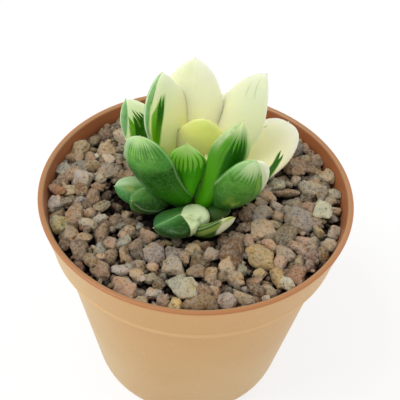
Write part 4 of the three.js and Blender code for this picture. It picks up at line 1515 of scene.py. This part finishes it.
def lay_stones():
    """Rows of x, y, half length, half width, turn, two tilts and lift. The placed ones come first,
    and then random ones from large to small, each kept only where it has room."""
    draw = random_source(GRAVEL_SEED)
    rows = [[*stone[:5], draw(), draw(), draw()] for stone in PLACED_STONES]
    for i in range(TRIES):
        size = LARGEST + (SMALLEST - LARGEST) * (i / TRIES) ** SHRINKING
        away = REACH * np.sqrt(draw())
        angle = 2 * np.pi * draw()
        stretch = STRETCH_FROM + STRETCH_SPAN * draw()
        turn = 360 * draw()
        x, y = away * np.cos(angle), away * np.sin(angle)
        in_stem = np.hypot(x - STEM_CENTRE[0], y - STEM_CENTRE[1]) < STEM_RADIUS + size / 2
        in_wall = away + WALL_SHARE * size > REACH
        laid = np.array([row[:4] for row in rows])
        apart = SPACING * (size + (laid[:, 2] + laid[:, 3]) / 2)
        crowded = np.any(np.hypot(x - laid[:, 0], y - laid[:, 1]) < apart)
        if not (crowded or in_stem or in_wall):
            rows.append([x, y, size * stretch, size / stretch, turn, draw(), draw(), draw()])
    return np.array(rows)


stones = lay_stones()
print("stones:", len(stones), "with half lengths from", stones[:, 2].min().round(2), "mm")

# %% [markdown]
# ### The shape of a stone
#
# A broken stone is what is left when a lump has been split along some planes. The distance from
# its middle to its skin, in any direction, is the nearest of those planes. Taking a soft minimum in
# place of a hard one wears the edges round. A small round grid of directions gives the points.

# %% Stones as rounded overlaps of planes
PLANES, NEAREST_PLANE, FURTHEST_PLANE = 10, 0.58, 1.0
# Beyond this reach a stone is round, where no plane cuts it off. A higher wear is a sharper edge.
ROUND_REACH, WEAR = 1.16, 64.0
# How many waves fit round a stone, and how deep they are, for broad swells and for a rough skin.
SWELLS, ROUGHNESS = (2.6, 0.025), (7.0, 0.028)
WAVES = 6


def round_grid(cuts):
    """Directions over a ball: the six sides of a cube, each a grid, pushed out to length 1."""
    steps = np.tan(np.linspace(-1, 1, cuts + 1) * np.pi / 4)
    u, v = np.meshgrid(steps, steps, indexing="ij")
    one = np.ones_like(u)
    sides = [(u, v, one), (v, u, -one), (one, u, v), (-one, v, u), (v, one, u), (u, -one, v)]
    points = np.concatenate([np.stack(side, axis=-1).reshape(-1, 3) for side in sides])
    row = np.arange(cuts)
    corner = (row[:, None] * (cuts + 1) + row[None]).ravel()
    quad = np.stack([corner, corner + cuts + 1, corner + cuts + 2, corner + 1], axis=1)
    quads = np.concatenate([quad + k * (cuts + 1) ** 2 for k in range(6)])
    keys = np.round(points * 1e6).astype(np.int64)
    _, first, shared = np.unique(keys, axis=0, return_index=True, return_inverse=True)
    return unit(points[first]), shared.ravel()[quads]


def waves(directions, count, random, pitch, depth):
    """Small swells over each stone: a sum of a few sines along random axes."""
    axes = random.normal(0, pitch, size=(count, WAVES, 3))
    phase = random.uniform(0, 2 * np.pi, size=(count, 1, WAVES))
    return depth * np.sin(np.einsum("vc,skc->svk", directions, axes) + phase).sum(axis=-1)


def broken_lumps(count, directions, random):
    """Stones about one unit in radius. In each direction the skin is at the nearest of some random
    planes: a sum of (nearness of a plane) to a high power, whose root is a soft minimum."""
    normals = unit(random.normal(size=(count, PLANES, 3)))
    distance = random.uniform(NEAREST_PLANE, FURTHEST_PLANE, size=(count, PLANES))
    facing = np.einsum("vc,spc->svp", directions, normals) / distance[:, None]
    nearness = np.sum(np.clip(facing, 0, None) ** WEAR, axis=-1) + (1 / ROUND_REACH) ** WEAR
    reach = nearness ** (-1 / WEAR)
    for pitch, depth in (SWELLS, ROUGHNESS):
        reach = reach + waves(directions, count, random, pitch, depth)
    return reach[..., None] * directions


def turn_about(axis, angle):
    """A turn by each angle about one axis, as an array of 3 by 3 tables."""
    c, s = np.cos(angle), np.sin(angle)
    i, j = [(1, 2), (2, 0), (0, 1)][axis]
    table = np.tile(np.eye(3), (len(angle), 1, 1))
    table[:, i, i] = c
    table[:, j, j] = c
    table[:, i, j] = -s
    table[:, j, i] = s
    return table


def placed_crowd(rows, heights, cuts, random):
    """Stones from rows of x, y, half length, half width, turn and tilts, at given heights."""
    directions, quads = round_grid(cuts)
    lumps = broken_lumps(len(rows), directions, random)
    tilt = turn_about(1, 2 * np.pi * rows[:, 6]) @ turn_about(0, 2 * np.pi * rows[:, 5])
    lumps = np.einsum("sij,svj->svi", tilt, lumps)
    tall = FLATNESS * np.minimum(rows[:, 2], rows[:, 3])
    lumps = lumps * np.stack([rows[:, 2], rows[:, 3], tall], axis=1)[:, None]
    lumps = np.einsum("sij,svj->svi", turn_about(2, np.radians(rows[:, 4])), lumps)
    middles = np.stack([rows[:, 0], rows[:, 1], heights], axis=1)
    points = lumps + middles[:, None]
    faces = quads[None] + (np.arange(len(rows)) * len(directions))[:, None, None]
    return points, faces.reshape(-1, 4)


for cuts in (9, 2):
    print("a stone with", cuts, "cells a side has", len(round_grid(cuts)[0]), "points")

# %% [markdown]
# ### Room for the leaves and the wall
#
# Loose stones give way: where a leaf lies low they sit deeper, and none goes through the pot. That
# could be had from a physics run as well. Here each stone is lowered until its dome is clear of the
# leaves over it, and points too far out are pressed in to the wall, as if the stone lay against it.

# %% Keeping stones out of the leaves and the wall
LEAF_GAP, WALL_GAP = 0.25, 0.08
DOME_MARGIN = 0.6
CLOUD_ROWS, CLOUD_COLUMNS = 24, 12


def leaf_cloud():
    """Points all over the leaves, but for their very roots."""
    along = np.linspace(0.05, 1.0, CLOUD_ROWS)
    angle = 2 * np.pi * np.arange(CLOUD_COLUMNS) / CLOUD_COLUMNS
    grids = [leaf_points(leaf, along, angle).reshape(-1, 3) for leaf in LEAVES.values()]
    return np.concatenate(grids)


LEAF_CLOUD = leaf_cloud()
print("points on the leaves:", len(LEAF_CLOUD))


def lowered(rows, heights):
    """The height of each stone, lowered where a leaf lies over it so that they don't cross. The
    stone counts as a dome: its height times the root of 1 - x2, with x from middle to edge."""
    tall = FLATNESS * np.minimum(rows[:, 2], rows[:, 3])
    wide = (rows[:, 2] + rows[:, 3]) / 2
    gap = LEAF_CLOUD[None, :, :2] - rows[:, None, :2]
    flat = np.hypot(gap[..., 0], gap[..., 1]) / (wide[:, None] + DOME_MARGIN)
    dome = np.sqrt(np.clip(1 - flat**2, 0, None)) * tall[:, None]
    room = np.where(flat < 1, LEAF_CLOUD[None, :, 2] - LEAF_GAP - dome, np.inf)
    return np.minimum(heights, room.min(axis=1))


def kept_inside(points):
    """Points pressed inwards where they would cross the pot's wall."""
    away = np.hypot(points[..., 0], points[..., 1])
    limit = inside_radius(points[..., 2]) - WALL_GAP
    press = np.minimum(1.0, limit / np.maximum(away, 1e-6))
    return points * np.stack([press, press, np.ones_like(press)], axis=-1)


# %% [markdown]
# ### Colours and finish of the stones
#
# Washed lava is brown, pink or mauve and pumice is grey to white, and no two grains are the same
# shade. Each could have a material of its own. Here all share one finish, and every stone carries
# its own colour on its points. The finish adds what they have in common: pores and mineral grains,
# painted shade low down where the stones lie in each other's shade, and painted glints on the
# stones above it.

# %% Colours for the stones
# How bright a stone is against its named colour, and what a channel may be off.
TONES, OFF_COLOUR = (0.66, 1.95), (0.93, 1.07)
# A stone that the photograph shows keeps nearer to one tone.
SHOWN_TONE, SHOWN_SPREAD = 1.35, 0.3


def stone_colours(count, random, fixed=()):
    """One colour a stone: the named ones first, then drawn by weight, each a little off."""
    names = list(STONE_COLOURS)
    weights = np.array([STONE_COLOURS[name][1] for name in names], float)
    drawn = random.choice(len(names), size=count, p=weights / weights.sum())
    drawn[: len(fixed)] = [names.index(name) for name in fixed]
    palette = np.array([ink(*STONE_COLOURS[name][0])[:3] for name in names])
    tone = random.uniform(*TONES, size=(count, 1))
    shown = tone[: len(fixed)]
    tone[: len(fixed)] = SHOWN_TONE + SHOWN_SPREAD * (shown - SHOWN_TONE)
    return palette[drawn] * tone * random.uniform(*OFF_COLOUR, size=(count, 3))


def spread_over(colours, per_stone):
    """The same colour on every point of a stone, with an alpha of 1."""
    full = np.concatenate([colours, np.ones((len(colours), 1))], axis=1)
    return np.repeat(full, per_stone, axis=0)


weight_sum = sum(weight for _, weight in STONE_COLOURS.values())
for stone_name, (_, stone_weight) in STONE_COLOURS.items():
    print(f"{stone_name}: {stone_weight / weight_sum:.0%} of the drawn stones")

# %% Stone finish
# Heights below which the painted shade between the stones is full, and above which it is gone.
SHADE_FULL_HEIGHT, SHADE_GONE_HEIGHT = 50.0, 51.5
# Shades that are multiplied with the stone's own.
OCHRE, SHADED = ink(255, 232, 196), ink(168, 152, 144)
# Darker pores, and the painted shade between the stones.
DEEP_PORE, GAP_SHADE = ink(100, 82, 74), ink(52, 42, 36)
# Shades that are laid over it.
# A pale mineral, and a painted glint.
PALE_MINERAL, GLINT = ink(226, 218, 202), ink(244, 236, 222)
PORE_RELIEF, GRAIN_RELIEF, RELIEF_DEPTH = -0.9, 2.4, 0.75


def stone_finish():
    """Porous rock: the stone's own colour in light and dark patches, pale mineral grains, dark
    pores of two sizes, and a dull skin with the same pores as relief."""
    skin = Finish("lava_and_pumice")
    own = skin.colour_of("stone_colour")
    # Wide patches of ochre and shade, and pale mineral in fine grains.
    patches = skin.noise(0.45, 4, 0.6)
    fine = skin.noise(1.5, 6, 0.85)
    shade = skin.mix(skin.rise(patches, 0.35, 0.7), own, skin.mix(1.0, own, OCHRE, "MULTIPLY"))
    dark = skin.mix(1.0, own, SHADED, "MULTIPLY")
    shade = skin.mix(skin.rise(patches, 0.5, 0.3, 0.0, 0.5), shade, dark)
    pale = skin.mix(0.65, own, PALE_MINERAL)
    shade = skin.mix(skin.rise(fine, 0.49, 0.58, 0.0, 0.9), shade, pale)
    # Pores: large ones in some places, small ones everywhere, and pits in the fine grain.
    large = skin.rise(skin.cells(1.1), 0.08, 0.34, 1.0, 0.0)
    small = skin.rise(skin.cells(2.9), 0.1, 0.3, 1.0, 0.0)
    where = skin.rise(skin.noise(0.4, 2), 0.4, 0.6)
    pore = skin.math("MAXIMUM", skin.times(large, where), skin.times(small, 0.6))
    deep = skin.mix(1.0, own, DEEP_PORE, "MULTIPLY")
    shade = skin.mix(skin.times(pore, 0.55), shade, deep)
    shade = skin.mix(skin.rise(fine, 0.47, 0.37, 0.0, 0.85), shade, deep)
    # Painted shade low down between the stones, and painted glints on the stones above it.
    height = skin.axes()[2]
    unshaded = skin.rise(height, SHADE_FULL_HEIGHT * MM, SHADE_GONE_HEIGHT * MM)
    shade = skin.mix(unshaded, skin.mix(1.0, shade, GAP_SHADE, "MULTIPLY"), shade)
    glints = skin.rise(skin.noise(4.5, 2, 0.7), 0.66, 0.74, 0.0, 0.8)
    shade = skin.mix(skin.times(glints, unshaded), shade, GLINT)
    skin.set(Base_Color=shade, Roughness=0.92, Specular_IOR_Level=0.3)
    skin.bumps(skin.line(pore, PORE_RELIEF, skin.line(fine, GRAIN_RELIEF, patches)), RELIEF_DEPTH)
    return skin


STONE_FINISH = stone_finish()
print("stone finish:", len(STONE_FINISH.nodes), "nodes")

# %% [markdown]
# ### The stones that show
#
# The stones that catch the eye are large and lie at the top, each half sunk among the others. Each
# could be an object of its own. Here one kind of stone is one piece, because nothing moves on its
# own, and the larger the stones are, the finer their grids.

# %% The stones that show
CRISP_ANGLE = 24
STONE_SEED = 7
# How many cells a side of each stone's grid has, from the placed stones to the grit.
LARGE_CUTS, STONE_CUTS, FILL_CUTS, GRIT_CUTS = 9, 5, 3, 2
random = np.random.default_rng(STONE_SEED)


def lay_crowd(name, rows, heights, cuts, random, fixed=()):
    """One piece with a stone for each row, kept clear of the leaves and inside the wall."""
    points, quads = placed_crowd(rows, lowered(rows, heights), cuts, random)
    shades = stone_colours(len(rows), random, fixed)
    print(name, len(rows), "stones,", len(quads), "faces")
    return make_piece(
        name,
        kept_inside(points).reshape(-1, 3),
        quads.tolist(),
        STONE_FINISH,
        "gravel_stone",
        "gravel",
        colours={"stone_colour": spread_over(shades, points.shape[1])},
        crisp=CRISP_ANGLE,
    )


def half_sunk(rows):
    """Height of each stone's middle: over the bed by a share of the stone's own half height."""
    tall = FLATNESS * np.minimum(rows[:, 2], rows[:, 3])
    lift = tall * (LIFT_LOW + (LIFT_HIGH - LIFT_LOW) * rows[:, 7])
    return bed_height(rows[:, 0], rows[:, 1]) + lift


large, middling = np.split(stones, [len(PLACED_STONES)])
large_colours = [stone[5] for stone in PLACED_STONES]
lay_crowd("gravel_large", large, half_sunk(large), LARGE_CUTS, random, large_colours)
lay_crowd("gravel_stones", middling, half_sunk(middling), STONE_CUTS, random)

# %% [markdown]
# ### What lies between the stones
#
# Smaller stones fill the gaps, also along the wall, and grit fills what they leave. They are laid
# by the same rule, but may crowd each other more, because they lie at many depths.

# %% Smaller stones and grit
FILL_TRIES, FILL_SIZES, FILL_CROWD, FILL_LEVELS = 6000, (1.8, 0.9), 0.68, (-0.4, 1.3)
GRIT_TRIES, GRIT_SIZES, GRIT_CROWD, GRIT_LEVELS = 9000, (0.85, 0.35), 0.58, (-1.0, 0.7)
SMALL_STRETCH_FROM, SMALL_STRETCH_SPAN, SMALL_WALL_SHARE = 0.75, 0.5, 0.75


def fill_between(laid, tries, sizes, crowd, random):
    """More rows like the laid ones, from large to small, each where there is still some room."""
    rows = np.array(laid)
    draws = random.uniform(size=(tries, 8))
    wall = inside_radius(EDGE_HEIGHT)
    for size, draw in zip(np.linspace(*sizes, tries), draws):
        away = (wall - SMALL_WALL_SHARE * size) * np.sqrt(draw[0])
        x, y = away * np.cos(2 * np.pi * draw[1]), away * np.sin(2 * np.pi * draw[1])
        apart = crowd * (size + (rows[:, 2] + rows[:, 3]) / 2)
        crowded = np.any(np.hypot(x - rows[:, 0], y - rows[:, 1]) < apart)
        in_stem = np.hypot(x - STEM_CENTRE[0], y - STEM_CENTRE[1]) < STEM_RADIUS + size
        if not (crowded or in_stem):
            stretch = SMALL_STRETCH_FROM + SMALL_STRETCH_SPAN * draw[2]
            row = [x, y, size * stretch, size / stretch, 360 * draw[3], *draw[4:7]]
            rows = np.concatenate([rows, [row]])
    return rows[len(laid) :]


def between(rows, low, high):
    """Heights of stones whose middles lie between two levels over the bed."""
    return bed_height(rows[:, 0], rows[:, 1]) + low + (high - low) * rows[:, 7]


fill = fill_between(stones, FILL_TRIES, FILL_SIZES, FILL_CROWD, random)
lay_crowd("gravel_fill", fill, between(fill, *FILL_LEVELS), FILL_CUTS, random)
laid = np.concatenate([stones, fill])
grit = fill_between(laid, GRIT_TRIES, GRIT_SIZES, GRIT_CROWD, random)
lay_crowd("gravel_grit", grit, between(grit, *GRIT_LEVELS), GRIT_CUTS, random)

# %% [markdown]
# ### The bed under the stones
#
# Below the top layer lies more of the same gravel, which shows only as darkness in the gaps. It
# could be filled with stones too, at a great cost in faces. A dark turned body takes their place,
# from the pot's floor to a little below the lowest gaps, and its near-black colour is painted
# shade.

# %% The bed under them
BED_SIDE_GAP, BED_FLOOR_GAP, BED_DROP = 0.45, 0.3, 1.6
BED_COLUMNS, BED_TOP_RINGS = 96, 24
bed_floor = FLOOR_TOP + BED_FLOOR_GAP


def bed_radius(height):
    """The pot's inside, less the gap beside the bed."""
    return inside_radius(height) - BED_SIDE_GAP


bed_wall = [bed_floor + INSIDE_CORNER, LEDGE[0], LEDGE[1]]
bed_top = np.linspace(1, 0, BED_TOP_RINGS) * bed_radius(EDGE_HEIGHT)
bed_line = np.array(
    [(0.0, bed_floor), (bed_radius(bed_floor) - INSIDE_CORNER, bed_floor)]
    + [(bed_radius(z), z) for z in bed_wall]
    + [(r, bed_height(STEM_CENTRE[0] + r, STEM_CENTRE[1]) - BED_DROP) for r in bed_top]
)
bed_points, bed_faces = turned_skin(bed_line, BED_COLUMNS)
make_piece(
    "gravel_bed",
    bed_points,
    bed_faces,
    STONE_FINISH,
    "gravel_stone",
    "gravel",
    # Near-black: painted shade in the gaps between the stones.
    colours={"stone_colour": np.tile(ink(58, 44, 38), (len(bed_points), 1))},
)
print("bed:", round(float(bed_line[:, 1].max() - bed_floor), 1), "mm deep")

# %% [markdown]
# ## Floor
#
# A plain pale floor catches the pot's shadow. Far away it bends up like a photographer's paper, so
# that no edge shows behind the pot from any side. It glows a little, because the surface in the
# photograph is almost as bright as the light.

# %% Floor
FLOOR_REACH, FLOOR_RISE, FLOOR_COLUMNS, BEND_STEPS = 2500.0, 400.0, 64, 12
floor_finish = Finish("pale_floor")
floor_finish.set(
    Base_Color=(0.25, 0.25, 0.25, 1.0),
    Roughness=0.9,
    Specular_IOR_Level=0.1,
    Emission_Color=WHITE,
    Emission_Strength=0.74,
)
bend = np.linspace(0.0, np.pi / 2, BEND_STEPS)
floor_line = FLOOR_RISE * np.stack([np.sin(bend), 1 - np.cos(bend)], axis=1) + [FLOOR_REACH, 0.0]
floor_line = np.concatenate([[(0.0, 0.0)], floor_line])
floor_points, floor_faces = turned_skin(floor_line, FLOOR_COLUMNS)
floor_mesh = bpy.data.meshes.new("floor")
floor_mesh.from_pydata((floor_points[:-1] * MM).tolist(), [], floor_faces[:-FLOOR_COLUMNS])
floor_mesh.polygons.foreach_set("use_smooth", np.ones(len(floor_mesh.polygons), bool))
floor_mesh.flip_normals()
floor_mesh.materials.append(floor_finish.material)
floor = bpy.data.objects.new("floor", floor_mesh)
bpy.context.collection.objects.link(floor)
print("floor:", 2 * FLOOR_REACH * MM, "m across before it bends up")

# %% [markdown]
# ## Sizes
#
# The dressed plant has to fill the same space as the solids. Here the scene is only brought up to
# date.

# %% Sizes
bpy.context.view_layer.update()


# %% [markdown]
